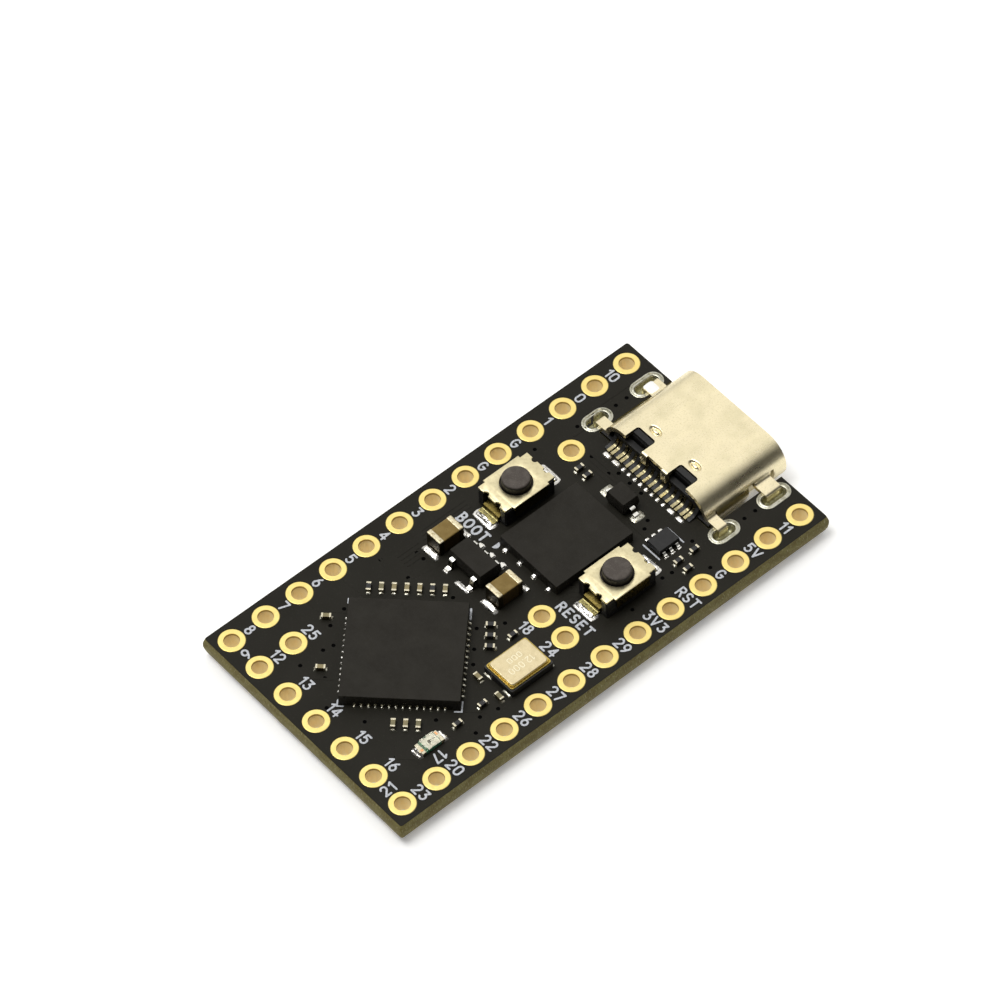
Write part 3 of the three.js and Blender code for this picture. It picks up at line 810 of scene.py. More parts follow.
def clear_of_pads(points):
    """Whether a line keeps off every pin pad, tested at ten steps along each of its parts."""
    for (ax, ay), (bx, by) in zip(points, points[1:]):
        for k in range(11):
            x, y = ax + (bx - ax) * k / 10, ay + (by - ay) * k / 10
            if any(math.hypot(x - hx, y - hy) < PAD_RADIUS + PAD_CLEARANCE for hx, hy in pin_holes()):
                return False
    return True


def build_traces():
    """Copper lines that show through the mask. Lines that would cross a pin pad are left out."""
    lines = Sculpt()
    width, rise, stagger = 0.14, 0.005, 0.0004
    base = TOP - MASK / 2
    drawn = []

    def route(*points):
        """Draws a line, each a hair above the one before so that crossing lines share no plane."""
        if clear_of_pads(points):
            drawn.append(points)
            lines.ribbon(points, width, base, TOP + rise + stagger * len(drawn))

    chip = Box("microcontroller_chip").centre
    reach = CHIP_SIDE / 2 * math.sqrt(2)
    for k, row in enumerate(range(6, 12)):
        y = FIRST_Y - row * PITCH
        share = (k + 1) / 7.5
        end = (chip.x - reach * (1 - share) - 0.35, chip.y + reach * share * 0.9 + 0.35 - k * 0.5)
        bend = -COLUMN_X + 1.25 + 0.12 * k
        route((-COLUMN_X + 0.9, y), (bend, y), (bend + abs(end[1] - y) * 0.35, y + (end[1] - y) * 0.35), end)
    for k, row in enumerate(range(5, 12)):
        y = FIRST_Y - row * PITCH
        bend = COLUMN_X - 1.2 - 0.1 * k
        drop = 0.55 + 0.07 * k
        route((COLUMN_X - 0.9, y), (bend, y), (bend - drop, y - drop), (bend - drop, y - drop - 0.6))
    for k in range(5):
        x = (k - 2) * PITCH
        lift = 0.5 + 0.25 * (2 - abs(k - 2))
        shift = math.copysign(0.3 + abs(x) * 0.25, x)
        start = -FIRST_Y + 0.9
        route((x, start), (x, start + lift), (x - shift, start + lift + abs(shift)))
    for k in range(4):
        x = 2.95 + 0.32 * k
        route((x, 5.9 - 0.1 * k), (x, 2.2 - 0.15 * k), (x - 0.5, 1.7 - 0.15 * k), (x - 0.5, 0.4 + 0.1 * k))
    for k in range(3):
        y = 9.15 - 0.32 * k
        route((-4.0 + 0.3 * k, y), (-1.4, y), (-1.1, y - 0.3))
    for k in range(4):
        x = -6.35 + 0.3 * k
        route((x, 1.3), (x, -2.0 - 0.2 * k), (x + 0.55, -2.55 - 0.2 * k), (x + 0.55, -4.2))
    route((1.45, 7.43), (2.8, 7.43))
    route((-6.3, 14.2), (-6.3, 11.4), (-5.6, 10.7), (-5.6, 9.3))
    route((6.3, 13.6), (6.3, 10.9), (6.9, 10.3), (6.9, 9.6))
    lines.piece("copper_relief", "mask", "solder_mask", smooth=30)


# ---------------------------------------------------------------- printed labels
# Each letter is a list of pen strokes. A capital is 1 high and its foot is at 0.
GLYPHS = {
    "0": [rounded(0.02, 0.60, 0, 1, 0.29, 5)],
    "1": [[(0.0, 0.76), (0.26, 1), (0.26, 0)]],
    "2": [arc(0.3, 0.71, 0.28, 0.29, 165, -35, 9) + [(0.02, 0), (0.6, 0)]],
    "3": [[(0.04, 1), (0.56, 1), (0.28, 0.6)] + arc(0.28, 0.31, 0.3, 0.31, 75, -150, 10)],
    "4": [[(0.46, 0), (0.46, 1), (0.0, 0.28), (0.64, 0.28)]],
    "5": [[(0.54, 1), (0.1, 1), (0.05, 0.56)] + arc(0.27, 0.33, 0.3, 0.33, 110, -145, 10)],
    "6": [[(0.42, 1), (0.22, 0.78), (0.06, 0.42)], arc(0.3, 0.31, 0.28, 0.31, 0, 360, 16)[:-1]],
    "7": [[(0.02, 1), (0.58, 1), (0.2, 0)]],
    "8": [arc(0.3, 0.76, 0.22, 0.24, 0, 360, 14)[:-1], arc(0.3, 0.26, 0.28, 0.27, 0, 360, 16)[:-1]],
    "9": [[(0.18, 0), (0.38, 0.22), (0.54, 0.58)], arc(0.3, 0.69, 0.28, 0.31, 0, 360, 16)[:-1]],
    "G": [arc(0.34, 0.5, 0.32, 0.5, 48, 345, 14) + [(0.66, 0.46), (0.38, 0.46)]],
    "V": [[(0.0, 1), (0.32, 0), (0.64, 1)]],
    "R": [[(0.04, 0), (0.04, 1), (0.34, 1)] + arc(0.34, 0.75, 0.25, 0.25, 75, -75, 6)
          + [(0.34, 0.5), (0.1, 0.5)], [(0.32, 0.5), (0.6, 0)]],
    "S": [arc(0.3, 0.75, 0.26, 0.25, 35, 265, 9) + arc(0.3, 0.25, 0.28, 0.25, 85, -145, 9)],
    "T": [[(0.0, 1), (0.62, 1)], [(0.31, 1), (0.31, 0)]],
    "B": [[(0.04, 0), (0.04, 1), (0.32, 1)] + arc(0.32, 0.76, 0.22, 0.24, 75, -75, 6)
          + [(0.3, 0.52), (0.1, 0.52)],
          [(0.04, 0.0), (0.34, 0.0)] + arc(0.34, 0.26, 0.25, 0.26, -75, 75, 6) + [(0.3, 0.52)]],
    "O": [arc(0.34, 0.5, 0.33, 0.5, 0, 360, 20)[:-1]],
    "E": [[(0.56, 1), (0.04, 1), (0.04, 0), (0.56, 0)], [(0.04, 0.52), (0.46, 0.52)]],
}
# The strokes that close on themselves.
LOOPS = {("0", 0), ("6", 1), ("8", 0), ("8", 1), ("9", 1), ("O", 0)}
LABEL_HEIGHT = 0.63
LABEL_STROKE = 0.12
LETTER_GAP = 0.36
INK = 0.014
INK_LAYER = 0.0025
LABEL_SHIFT = 0.13
SHARP_TURN = math.radians(55)


def split_at_corners(points):
    """Breaks a pen stroke where it turns sharply, so that each part keeps round ends."""
    parts = [[points[0]]]
    for before, point, after in zip(points, points[1:], points[2:]):
        parts[-1].append(point)
        turn = Vector((point[0] - before[0], point[1] - before[1])).angle(
            Vector((after[0] - point[0], after[1] - point[1])), 0)
        if turn > SHARP_TURN:
            parts.append([point])
    parts[-1].append(points[-1])
    return parts


def write(sheet, text, x, y, turn=0.0, height=LABEL_HEIGHT, stroke=LABEL_STROKE, floor=TOP, rise=INK,
          gap=LETTER_GAP):
    """Prints text centred on a point. Each stroke lies a little above the one before it."""
    sheet.place(x, y, 0, turn)
    spans = []
    for letter in text:
        across = [u for path in GLYPHS.get(letter, [[(0, 0)]]) for u, _ in path]
        spans.append((min(across), max(across)))
    width = sum(high - low for low, high in spans) + gap * (len(text) - 1)
    cursor = -width / 2
    for letter, (low, high) in zip(text, spans):
        ink_top = floor + rise
        for n, path in enumerate(GLYPHS.get(letter, [])):
            points = [((u - low + cursor) * height, (v - 0.5) * height) for u, v in path]
            loop = (letter, n) in LOOPS
            for part in [points] if loop else split_at_corners(points):
                sheet.ribbon(part, stroke, floor, ink_top, loop)
                ink_top += INK_LAYER
        if letter == ".":
            sheet.prism(circle(cursor * height, -0.5 * height, stroke * 0.7, 8), floor, floor + rise)
        cursor += high - low + gap


def build_labels():
    """The printed names of the pins and buttons, and the corner marks around the chips."""
    sheet = Sculpt()
    left = ["10", "0", "1", "G", "G", "2", "3", "4", "5", "6", "7", "8"]
    right = ["11", "5V", "G", "RST", "3V3", "29", "28", "27", "26", "22", "20", "23"]
    for i, (a, b) in enumerate(zip(left, right)):
        y = FIRST_Y - (i + 0.5) * PITCH
        write(sheet, a, -COLUMN_X + LABEL_SHIFT, y)
        write(sheet, b, COLUMN_X + LABEL_SHIFT, y)
    for i in range(5):
        write(sheet, str(12 + i), (i - 2) * PITCH + LABEL_SHIFT, -FIRST_Y + PITCH / 2)
    write(sheet, "9", -6.3, -FIRST_Y, QUARTER)
    write(sheet, "21", 6.35, -FIRST_Y, QUARTER)
    write(sheet, "17", 6.58, -11.6, -QUARTER)
    write(sheet, "25", -5.0, -11.45)
    write(sheet, "18", 3.08, -2.02)
    write(sheet, "24", 5.12, -2.02)
    write(sheet, "BOOT", -4.48, 0.45, height=0.64, stroke=0.15, gap=0.38)
    write(sheet, "RESET", 4.51, 0.49, height=0.60, stroke=0.135, gap=0.45)
    sheet.place(-2.57, 0.57)
    sheet.prism(arc(-0.08, 0, 0.29, 0.27, -88, 88, 14), TOP, TOP + INK)
    sheet.place(0, 0)

    def line(width, *points):
        sheet.ribbon(points, width, TOP, TOP + INK)

    chip = Box("microcontroller_chip").centre
    corner = CHIP_SIDE / 2 * math.sqrt(2) + 0.14
    line(0.13, (chip.x - 0.06, chip.y + corner), (chip.x + 0.46, chip.y + corner - 0.5))
    line(0.09, (chip.x + corner - 0.5, chip.y + 0.45), (chip.x + corner, chip.y - 0.05),
         (chip.x + corner - 0.28, chip.y - 0.35))
    line(0.09, (chip.x - corner - 0.3, chip.y + 0.3), (chip.x - corner - 0.08, chip.y + 0.08))
    line(0.09, (chip.x - 0.3, chip.y - corner + 0.3), (chip.x, chip.y - corner),
         (chip.x + 0.25, chip.y - corner + 0.25))
    guard = Box("surge_guard_chip").centre
    for y in (guard.y + 0.96, guard.y - 0.92):
        line(0.1, (guard.x - 0.72, y), (guard.x + 0.68, y))
    sheet.piece("printed_labels", "ink", "silkscreen")


# ---------------------------------------------------------------- USB-C socket
SHELL = Box("usb_shell")
SHELL_RADIUS = 1.58
SHELL_HALF = 4.47
SHELL_FLAT = SHELL_HALF - SHELL_RADIUS
SHELL_Z = SHELL.high.z - SHELL_RADIUS
SHELL_WALL = 0.3
LIP_INNER = 0.65
NOTCH_X = (1.1, 2.65)
NOTCH_DEPTH_Y = 11.78
NOTCH_ROUND = 0.2
DIMPLE_X, DIMPLE_Y = 1.72, 12.3
WINDOW_ANGLE = 18
TONGUE = 0.35
LEGS = [(14.57, 15.74), (10.79, 11.49)]
WINDOWS = [(14.1, 16.1), (0.0, 11.6)]
LEG_TOP = TOP + 0.26
LEG_X = 5.5
LEG_TIP = 0.15
LEG_BEND = 0.22
DOUBLE_TAIL = 0.4
CONTACTS = [f"usb_contact_{i:02d}" for i in range(1, 13)]
NEAR = 1e-4


def notch_gap(x, y):
    """Distance from the edge of the shell's rear notches, negative inside one."""
    middle = sum(NOTCH_X) / 2
    dx = abs(abs(x) - middle) - (NOTCH_X[1] - NOTCH_X[0]) / 2 + NOTCH_ROUND
    dy = y - NOTCH_DEPTH_Y + NOTCH_ROUND
    return math.hypot(max(dx, 0), max(dy, 0)) + min(max(dx, dy), 0) - NOTCH_ROUND


def dimple_drop(x, y):
    """Depth of the oval groove stamped on each side of the shell's top."""
    depth, oval_x, oval_y, ring, width = 0.12, 0.42, 0.22, 0.85, 0.24
    rho = math.hypot((abs(x) - DIMPLE_X) / oval_x, (y - DIMPLE_Y) / oval_y)
    return depth * math.exp(-((rho - ring) / width) ** 2)


def shell_stations():
    """Points (x, z, is_top) around the shell, and the index of each window's upper edge."""
    round_in = [NOTCH_ROUND * (1 - math.cos(math.radians(a))) for a in range(0, 91, 18)]
    inner = [NOTCH_X[0] + r for r in round_in]
    outer = [NOTCH_X[1] - r for r in round_in]
    fine = [DIMPLE_X + 0.05 * k for k in range(-11, 12)]
    half = sorted({round(v, 4) for v in [LIP_INNER, SHELL_FLAT, *inner, *outer, *fine]})
    half = [v for i, v in enumerate(half) if i == 0 or v - half[i - 1] > 0.012 or v in NOTCH_X]
    top = half[::-1] + [0.0] + [-v for v in half]
    angles = [-90, -75, -60, -45, -30, -15, 0, WINDOW_ANGLE, 26, 35, 44, 55, 66, 78]
    stations = [(x, -SHELL_RADIUS, False) for x in (-1.9, 0.0, 1.9)]
    right = []
    for a in angles:
        r = math.radians(a)
        right.append((SHELL_FLAT + SHELL_RADIUS * math.cos(r), SHELL_RADIUS * math.sin(r), False))
    left = [(-x, z, False) for x, z, _ in reversed(right)]
    stations += right + [(x, SHELL_RADIUS, True) for x in top] + left
    right_edge = 3 + angles.index(WINDOW_ANGLE)
    left_edge = 3 + len(right) + len(top) + len(angles) - 1 - angles.index(WINDOW_ANGLE)
    return stations, right_edge, left_edge


def shell_rows():
    """Stations along the shell: leg, window, notch and dimple edges, and fine rows at the dimples."""
    round_in = [NOTCH_DEPTH_Y - NOTCH_ROUND * (1 - math.sin(math.radians(a))) for a in range(0, 91, 18)]
    fine = [DIMPLE_Y + 0.045 * k for k in range(-8, 9)]
    rows = {round(v, 4) for v in [SHELL.low.y, 11.1, 13.1, 13.8, 16.4, SHELL.high.y, *round_in, *fine]}
    rows |= {y for leg in LEGS for y in leg}
    rows |= {*WINDOWS[0], WINDOWS[1][1]}
    return sorted(rows)


def build_shell():
    """One sheet, folded around the socket and given its thickness afterwards."""
    stations, right_edge, left_edge = shell_stations()
    rows = shell_rows()
    count = len(stations)
    sheet = Sculpt()
    grid = []
    for y in rows:
        line = []
        for x, z, is_top in stations:
            drop = dimple_drop(x, y) if is_top else 0
            line.append(sheet.vert(x, y, SHELL_Z + z - drop))
        grid.append(line)

    right_cells = range(right_edge - 5, right_edge)
    left_cells = range(left_edge, left_edge + 5)
    for j in range(len(rows) - 1):
        y_middle = (rows[j] + rows[j + 1]) / 2
        in_window = any(low < y_middle < high for low, high in WINDOWS)
        for i in range(count):
            if in_window and (i in right_cells or i in left_cells):
                continue
            k = (i + 1) % count
            cell = [grid[j][i], grid[j][k], grid[j + 1][k], grid[j + 1][i]]
            if stations[i][2] and stations[k][2]:
                kept = [v for v in cell if notch_gap(v.co.x, v.co.y) > -NEAR]
                middle_gap = notch_gap((stations[i][0] + stations[k][0]) / 2, y_middle)
                if len(kept) < 3 or (len(kept) == 4 and middle_gap < -NEAR):
                    continue
                cell = kept
            sheet.face(*cell)

    def extend(start, path):
        """Carries the sheet on from a row of its vertices along a path of points."""
        previous = start
        for row in path:
            current = [sheet.vert(*point) for point in row]
            for n in range(len(start) - 1):
                sheet.face(previous[n], previous[n + 1], current[n + 1], current[n])
            previous = current

    bend = LEG_BEND
    for side, edge in ((1, right_edge), (-1, left_edge)):
        for low, high in LEGS:
            js = [j for j, y in enumerate(rows) if low - SAME_POINT <= y <= high + SAME_POINT]
            start = [grid[j][edge] for j in js]
            wall_x = abs(start[0].co.x)
            wall_z = start[0].co.z
            curve = [(wall_x + bend * (1 - math.cos(a)), wall_z - (wall_z - LEG_TOP) * math.sin(a))
                     for a in (math.radians(30), math.radians(60), math.radians(90))]
            curve += [(LEG_X - bend + bend * math.sin(a), LEG_TOP - bend * (1 - math.cos(a)))
                      for a in (math.radians(k) for k in range(0, 91, 22))]
            curve += [(LEG_X, LEG_TOP - bend), (LEG_X, LEG_TIP)]
            if side < 0:
                js = js[::-1]
                start = start[::-1]
            extend(start, [[(side * x, rows[j], z) for j in js] for x, z in curve])

    lip = 0.2
    for side in (-1, 1):
        index = [i for i, (x, z, is_top) in enumerate(stations)
                 if is_top and LIP_INNER - NEAR <= side * x <= NOTCH_X[0] + NEAR]
        start = [grid[0][i] for i in index]
        fold = [(SHELL.low.y - lip * math.sin(a), SHELL_Z + SHELL_RADIUS - lip * (1 - math.cos(a)))
                for a in (math.radians(k) for k in (30, 60, 90))]
        fold += [(SHELL.low.y - lip, SHELL_Z + 0.75)]
        extend(start, [[(stations[i][0], y, z) for i in index] for y, z in fold])

    loose = [v for v in sheet.bm.verts if not v.link_faces]
    bmesh.ops.delete(sheet.bm, geom=loose, context="VERTS")
    bmesh.ops.recalc_face_normals(sheet.bm, faces=sheet.bm.faces)
    highest = max(sheet.bm.faces, key=lambda f: f.calc_center_median().z)
    if highest.normal.z < 0:
        bmesh.ops.reverse_faces(sheet.bm, faces=sheet.bm.faces)
    obj = finish_piece("usb_shell_metal", sheet.mesh("usb_shell_metal"), "shell", "socket_shell",
                       replaces=["usb_shell"], smooth=60)
    solid = obj.modifiers.new("thickness", "SOLIDIFY")
    solid.thickness = SHELL_WALL * MM
    solid.offset = -1
    solid.use_even_offset = True
    add_bevel(obj, 0.06, 3, 50)


def stadium(half_width, half_height, z, steps=14):
    """The socket's cross-section as (x, z) points."""
    flat = half_width - half_height
    right = arc(flat, z, half_height, half_height, -90, 90, steps)
    return right + [(-x, 2 * z - v) for x, v in right]


def build_socket_inside():
    """The black moulding: its block, the blocks behind the notches, the tongue and the ribs between tails."""
    box = Box("usb_insulator")
    low, high = box.low, box.high
    block_y = 12.6
    moulding = Sculpt()
    section = stadium(box.half.x, box.half.z, SHELL_Z)
    moulding.rings([[moulding.vert(x, y, z) for x, z in section] for y in (low.y + 0.4, block_y)])
    top = SHELL_Z + SHELL_RADIUS
    for side in (-1, 1):
        moulding.block(side * (NOTCH_X[0] + 0.06), side * (NOTCH_X[1] - 0.06),
                       NOTCH_DEPTH_Y - 0.46, NOTCH_DEPTH_Y - 0.06, top - 0.5, top - 0.06)
        moulding.block(side * 3.55, side * 4.72, NOTCH_REAR + 0.04, low.y + 0.6, 0.25, TOP + 0.12)
    moulding.block(-3.34, 3.34, block_y - 0.05, high.y, SHELL_Z - TONGUE, SHELL_Z + TONGUE)
    tails = contact_tails()
    edges = [-3.6] + [(a[1] + b[0]) / 2 for a, b in zip(tails, tails[1:])] + [3.6]
    rear = low.y
    rib = [(rear + y, TOP + z) for y, z in ((0.3, 0.02), (-0.88, 0.02), (-0.88, 0.07), (-0.5, 0.15),
                                            (-0.25, 0.32), (-0.06, 0.62), (0.3, 0.85))]
    for x in edges:
        moulding.slab(rib, x - 0.14, x + 0.14)
    moulding.block(-3.7, 3.7, low.y - 0.1, low.y + 0.3, TOP + 0.62, TOP + 0.95)
    moulding.piece("usb_insulator_moulding", "black_resin", "black_resin", replaces=["usb_insulator"],
                   bevel=(0.04, 2))


def contact_tails():
    """(left, right, centre) of each contact's tail."""
    tails = []
    for name in CONTACTS:
        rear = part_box(name)[0].y + 0.2 * MM
        xs = [v.co.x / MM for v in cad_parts[name].data.vertices if v.co.y < rear]
        tails.append((min(xs), max(xs), (min(xs) + max(xs)) / 2))
    return tails


def build_contacts():
    """Each tail with its solder, and its finger on the tongue. A wide tail is drawn as two, side by side."""
    metal = Sculpt()
    solder = Sculpt()
    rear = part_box(CONTACTS[0])[0].y / MM
    tail = [(rear - 0.08, TOP + 0.09), (rear + 0.42, TOP + 0.10), (rear + 0.6, TOP + 0.16),
            (rear + 0.74, TOP + 0.34), (rear + 0.82, TOP + 0.66), (rear + 1.0, TOP + 0.8)]
    for i, (x0, x1, middle) in enumerate(contact_tails()):
        if x1 - x0 > DOUBLE_TAIL:
            spans = [(x0 + 0.02, middle - 0.05), (middle + 0.05, x1 - 0.02)]
            pad = 0.02
            finger = math.copysign(2.25 if abs(middle) < 3 else 2.75, middle)
        else:
            spans = [(x0 + 0.03, x1 - 0.03)]
            pad = -0.005
            finger = middle
        for a, b in spans:
            metal.strip(tail, 0.13, a, b)
        solder.pillow(x0 - pad, x1 + pad, rear - 0.46, rear - 0.1, TOP, 0.10, (0, 0.1), 0.15, i * 0.7)
        front = Box(CONTACTS[i]).high
        face = 1 if front.z > SHELL_Z + 0.3 else -1
        z = SHELL_Z + face * TONGUE
        metal.block(finger - 0.125, finger + 0.125, 12.55, front.y, z, z + face * 0.02)
    # painted highlight: this thin near-white sheet on the front-left leg's top stands for a bright reflection
    # on the leg
    tin = Sculpt()
    rear_y, front_y = LEGS[0]
    tin.pillow(-LEG_X - 0.02, -SHELL_HALF - 0.2, rear_y + 0.03, front_y - 0.36, LEG_TOP - 0.01, 0.03,
               (0, 0), 0.1, 3.0)
    tin.piece("usb_leg_painted_highlight", "leg_painted_highlight", "solder")
    metal.piece("usb_contact_strips", "contact_metal", "gold_plate", replaces=CONTACTS, bevel=(0.02, 2))
    solder.piece("usb_contact_solder", "solder", "solder")


# ---------------------------------------------------------------- push buttons
def build_button(name, seed):
    """One push button from the board up. `seed` sets the lumps in its solder."""
    box = Box(f"{name}_base")
    outline = base_outline(box.half.x, box.half.y)
    cavity_radius, cavity_floor = 1.1, TOP + 0.45
    base = box.sculpt()
    base.prism(centred(box.half.x, box.half.y, 0.12, 3), box.low.z, TOP + 0.16)
    base.prism(outline, TOP + 0.158, cavity_floor)
    base.plate(outline, [circle(0, 0, cavity_radius, 40)], cavity_floor - 0.002, box.high.z)
    base.piece(f"{name}_base_moulding", "black_resin", "black_resin", replaces=[f"{name}_base"],
               bevel=(0.03, 2))
    build_cover(name, box)
    build_plunger(name, box)
    build_dome(name, box)
    build_terminals(name, box, seed)


def build_cover(name, box):
    """A stamped plate over the base, and a skirt down each long side."""
    cover = Box(f"{name}_cover")
    top = cover.high.z
    hole_radius, plate_half_x, gauge = 0.99, 1.4, 0.15
    plate = box.sculpt()
    outline = cover_outline(plate_half_x, cover.half.y)
    plate.plate(outline, [circle(0, 0, hole_radius, 48)], top - gauge, top, 0.03)
    plate.piece(f"{name}_cover_plate", "cover_metal", "button_cover", replaces=[f"{name}_cover"], smooth=55)
    skirt = box.sculpt()
    for side in (-1, 1):
        skirt.block(side * (box.half.x + 0.02), side * (cover.half.x - 0.01), -1.25, 1.25,
                    cover.low.z, top - 0.03)
    # painted shade: the skirts use the terminal metal, which is near-black above TOP + 0.26, so the cover's
    # long sides show dark
    skirt.piece(f"{name}_cover_skirt", "terminal_metal", "button_cover", bevel=(0.03, 2))


def build_plunger(name, box):
    """The part that is pressed: a foot on the dome, a flange under the cover and a rounded cap."""
    plunger_box = Box(f"{name}_plunger")
    low, top, flange = plunger_box.low.z, plunger_box.high.z, plunger_box.half.x
    stem, edge, flange_top = 0.90, 0.16, TOP + 1.22
    profile = [(0, low), (0.42, low), (0.5, low + 0.08), (flange, low + 0.08),
               (flange, flange_top), (stem, flange_top), (stem - 0.01, top - edge)]
    profile += arc(stem - 0.17, top - 0.165, edge, edge, 0, 90, 6)
    profile += [(0.6, top - 0.003), (0.3, top - 0.001), (0, top)]
    plunger = box.sculpt()
    plunger.lathe(profile, 56)
    plunger.piece(f"{name}_plunger_cap", "plunger_resin", "plunger_resin", body=f"{name}_button",
                  replaces=[f"{name}_plunger"], smooth=50)


def build_dome(name, box):
    """The snap dome: a thin curved shell turned from a profile, given a mesh of its own."""
    dome_box = Box(f"{name}_dome")
    low, skin = dome_box.low.z, 0.06
    crown = dome_box.high.z - low - skin
    inner = [(t * dome_box.half.x, low + crown * (1 - t * t)) for t in (k / 10 for k in range(11))]
    dome = box.sculpt()
    dome.lathe(inner + [(r, z + skin) for r, z in reversed(inner)], 40)
    dome_piece = dome.piece(f"{name}_snap_dome", "spring_steel", "spring_steel", replaces=[f"{name}_dome"])
    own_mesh(dome_piece)


def build_terminals(name, box, seed):
    """A bent terminal at each short end, on a wide thin lump of solder and a narrow high one."""
    end = box.half.y
    path = [(end - 0.45, 0.46), (end - 0.06, 0.40), (end + 0.03, 0.36), (end + 0.08, 0.16),
            (end + 0.14, 0.10), (end + 0.48, 0.09)]
    leads, solder = Sculpt(), Sculpt()
    for turn in (0, math.pi):
        for sculpt in (leads, solder):
            sculpt.place(box.centre.x, box.centre.y, TOP, turn)
        leads.strip(path, 0.15, -0.7, 0.7)
        solder.pillow(-0.86, 0.86, end + 0.04, end + 0.9, 0.002, 0.10, (0, -0.2), 0.25, seed + turn, 14)
        solder.pillow(-0.76, 0.76, end + 0.40, end + 0.78, 0.002, 0.17, (0, -0.3), 0.5, seed + turn + 1, 14)
    leads.piece(f"{name}_terminals", "terminal_metal", "terminal_brass",
                replaces=[f"{name}_terminal_front", f"{name}_terminal_rear"], bevel=(0.025, 2))
    solder.piece(f"{name}_solder", "solder", "solder")


def base_outline(half_x, half_y):
    """The switch's moulding, with a recess in each short end for the terminal."""
    recess_x, recess_y, corner = 0.78, 0.42, 0.1
    quarter = [(half_x, half_y - corner), (half_x - corner, half_y), (recess_x, half_y),
               (recess_x - 0.02, half_y - recess_y)]
    upper = quarter + [(-x, y) for x, y in reversed(quarter)]
    return upper + [(-x, -y) for x, y in upper]


def cover_outline(half_x, half_y):
    """A plate with a step cut from each corner and two round bites in each short end."""
    step_x, step_y, bite, bite_x = 0.17, 0.55, 0.2, 0.52
    quarter = [(half_x, 0.0), (half_x, half_y - step_y)]
    quarter += [(half_x - step_x, half_y - step_y), (half_x - step_x, half_y)]
    quarter += arc(bite_x, half_y, bite, bite, 0, -180, 8)
    upper = quarter + [(-x, y) for x, y in reversed(quarter[1:])]
    return upper + [(-x, -y) for x, y in upper]


# ---------------------------------------------------------------- chips
def tapered(sculpt, half_x, half_y, radius, levels):
    """A block whose outline moves in at each (height, inset) level."""
    sculpt.rings([[sculpt.vert(x, y, z) for x, y in centred(half_x, half_y, radius, 3, inset)]
                  for z, inset in levels])


def build_controller():
    """The leadless chip, set at 45 degrees, with fourteen lands to a side and a lump of solder at each."""
    box = Box("microcontroller_chip")
    land_pitch, first_land = 0.4, -6.5
    edge = CHIP_SIDE / 2
    body = box.sculpt(0, EIGHTH)
    body.prism(centred(edge, edge, 0.06, 3), box.low.z, box.high.z)
    body.piece("microcontroller_body", "chip_resin", "chip_resin", replaces=["microcontroller_chip"],
               bevel=(0.035, 2))
    lands, fillets, bright = Sculpt(), Sculpt(), Sculpt()
    for quarter in range(4):
        # painted light and shade: the joints on the side towards the key lamp use the bright solder, those on
        # the other three sides the dull solder
        joint = bright if quarter == 1 else fillets
        for sculpt in (lands, joint):
            sculpt.place(box.centre.x, box.centre.y, 0, EIGHTH + quarter * QUARTER)
        for k in range(14):
            across = (k + first_land) * land_pitch
            lands.block(across - 0.1, across + 0.1, edge - 0.02, edge + 0.006, box.low.z, box.low.z + 0.2)
            joint.pillow(across - 0.085, across + 0.085, edge - 0.03, edge + 0.20, TOP, 0.10,
                         (0, -0.5), 0.4, k * 0.37 + quarter, 6)
    lands.piece("microcontroller_lands", "tiny_end", "solder")
    fillets.piece("microcontroller_shaded_side_solder", "dull_solder", "solder")
    bright.piece("microcontroller_lit_side_solder", "solder", "solder")


def build_flash():
    """The leadless flash chip, with four lumps of solder at each short end."""
    box = Box("flash_chip")
    land_pitch, first_land = 1.27, -1.5
    body = box.sculpt()
    body.prism(centred(box.half.x, box.half.y, 0.05, 3), box.low.z, box.high.z)
    body.piece("flash_body", "chip_resin", "chip_resin", replaces=["flash_chip"], bevel=(0.03, 2))
    solder = Sculpt()
    for turn in (0, math.pi):
        solder.place(box.centre.x, box.centre.y, 0, turn)
        for k in range(4):
            across = (k + first_land) * land_pitch
            solder.pillow(across - 0.19, across + 0.19, box.half.y - 0.08, box.half.y + 0.30, TOP, 0.15,
                          (0, -0.3), 0.15, k + turn)
    solder.piece("flash_solder", "solder", "solder")


def gull_lead(metal, solder, width, inner, knee, foot, shoulder, thickness, seed):
    """One bent lead towards +Y with its solder, about the sculpts' current place."""
    rise = thickness / 2 + 0.02
    half = width / 2
    path = [(inner, shoulder), (knee - 0.05, shoulder), (knee + 0.02, shoulder - 0.05),
            (knee + 0.07, rise + 0.05), (knee + 0.14, rise), (foot, rise)]
    metal.strip(path, thickness, -half, half)
    solder.pillow(-half - 0.05, half + 0.05, knee + 0.12, foot + 0.14, 0.002, 0.07, (0, 0.3), 0.3, seed)


def build_leaded(name, label, turn, width, length, leads, lead, material="chip_resin", drop=0.0):
    """A moulded chip with gull-wing leads. `leads` are (across, faces_rear) pairs."""
    box = Box(name)
    low, high = TOP + 0.08, box.high.z - drop
    parting = low + (high - low) * 0.42
    lean = 0.16 * (high - parting)
    body = box.sculpt(0, turn)
    tapered(body, width / 2, length / 2, 0.05, [(low, lean), (parting, 0), (high, lean)])
    body.piece(f"{label}_body", material, "chip_resin", replaces=[name], bevel=(0.035, 2))
    metal, solder = Sculpt(), Sculpt()
    for k, (across, rear) in enumerate(leads):
        for sculpt in (metal, solder):
            if rear:
                sculpt.place(box.centre.x, box.centre.y, TOP, turn + math.pi, -across)
            else:
                sculpt.place(box.centre.x, box.centre.y, TOP, turn, across)
        gull_lead(metal, solder, seed=k * 1.3 + box.centre.x, **lead)
    metal.piece(f"{label}_leads", "lead_tin", "solder", bevel=(0.02, 2))
    solder.piece(f"{label}_solder", "solder", "solder")


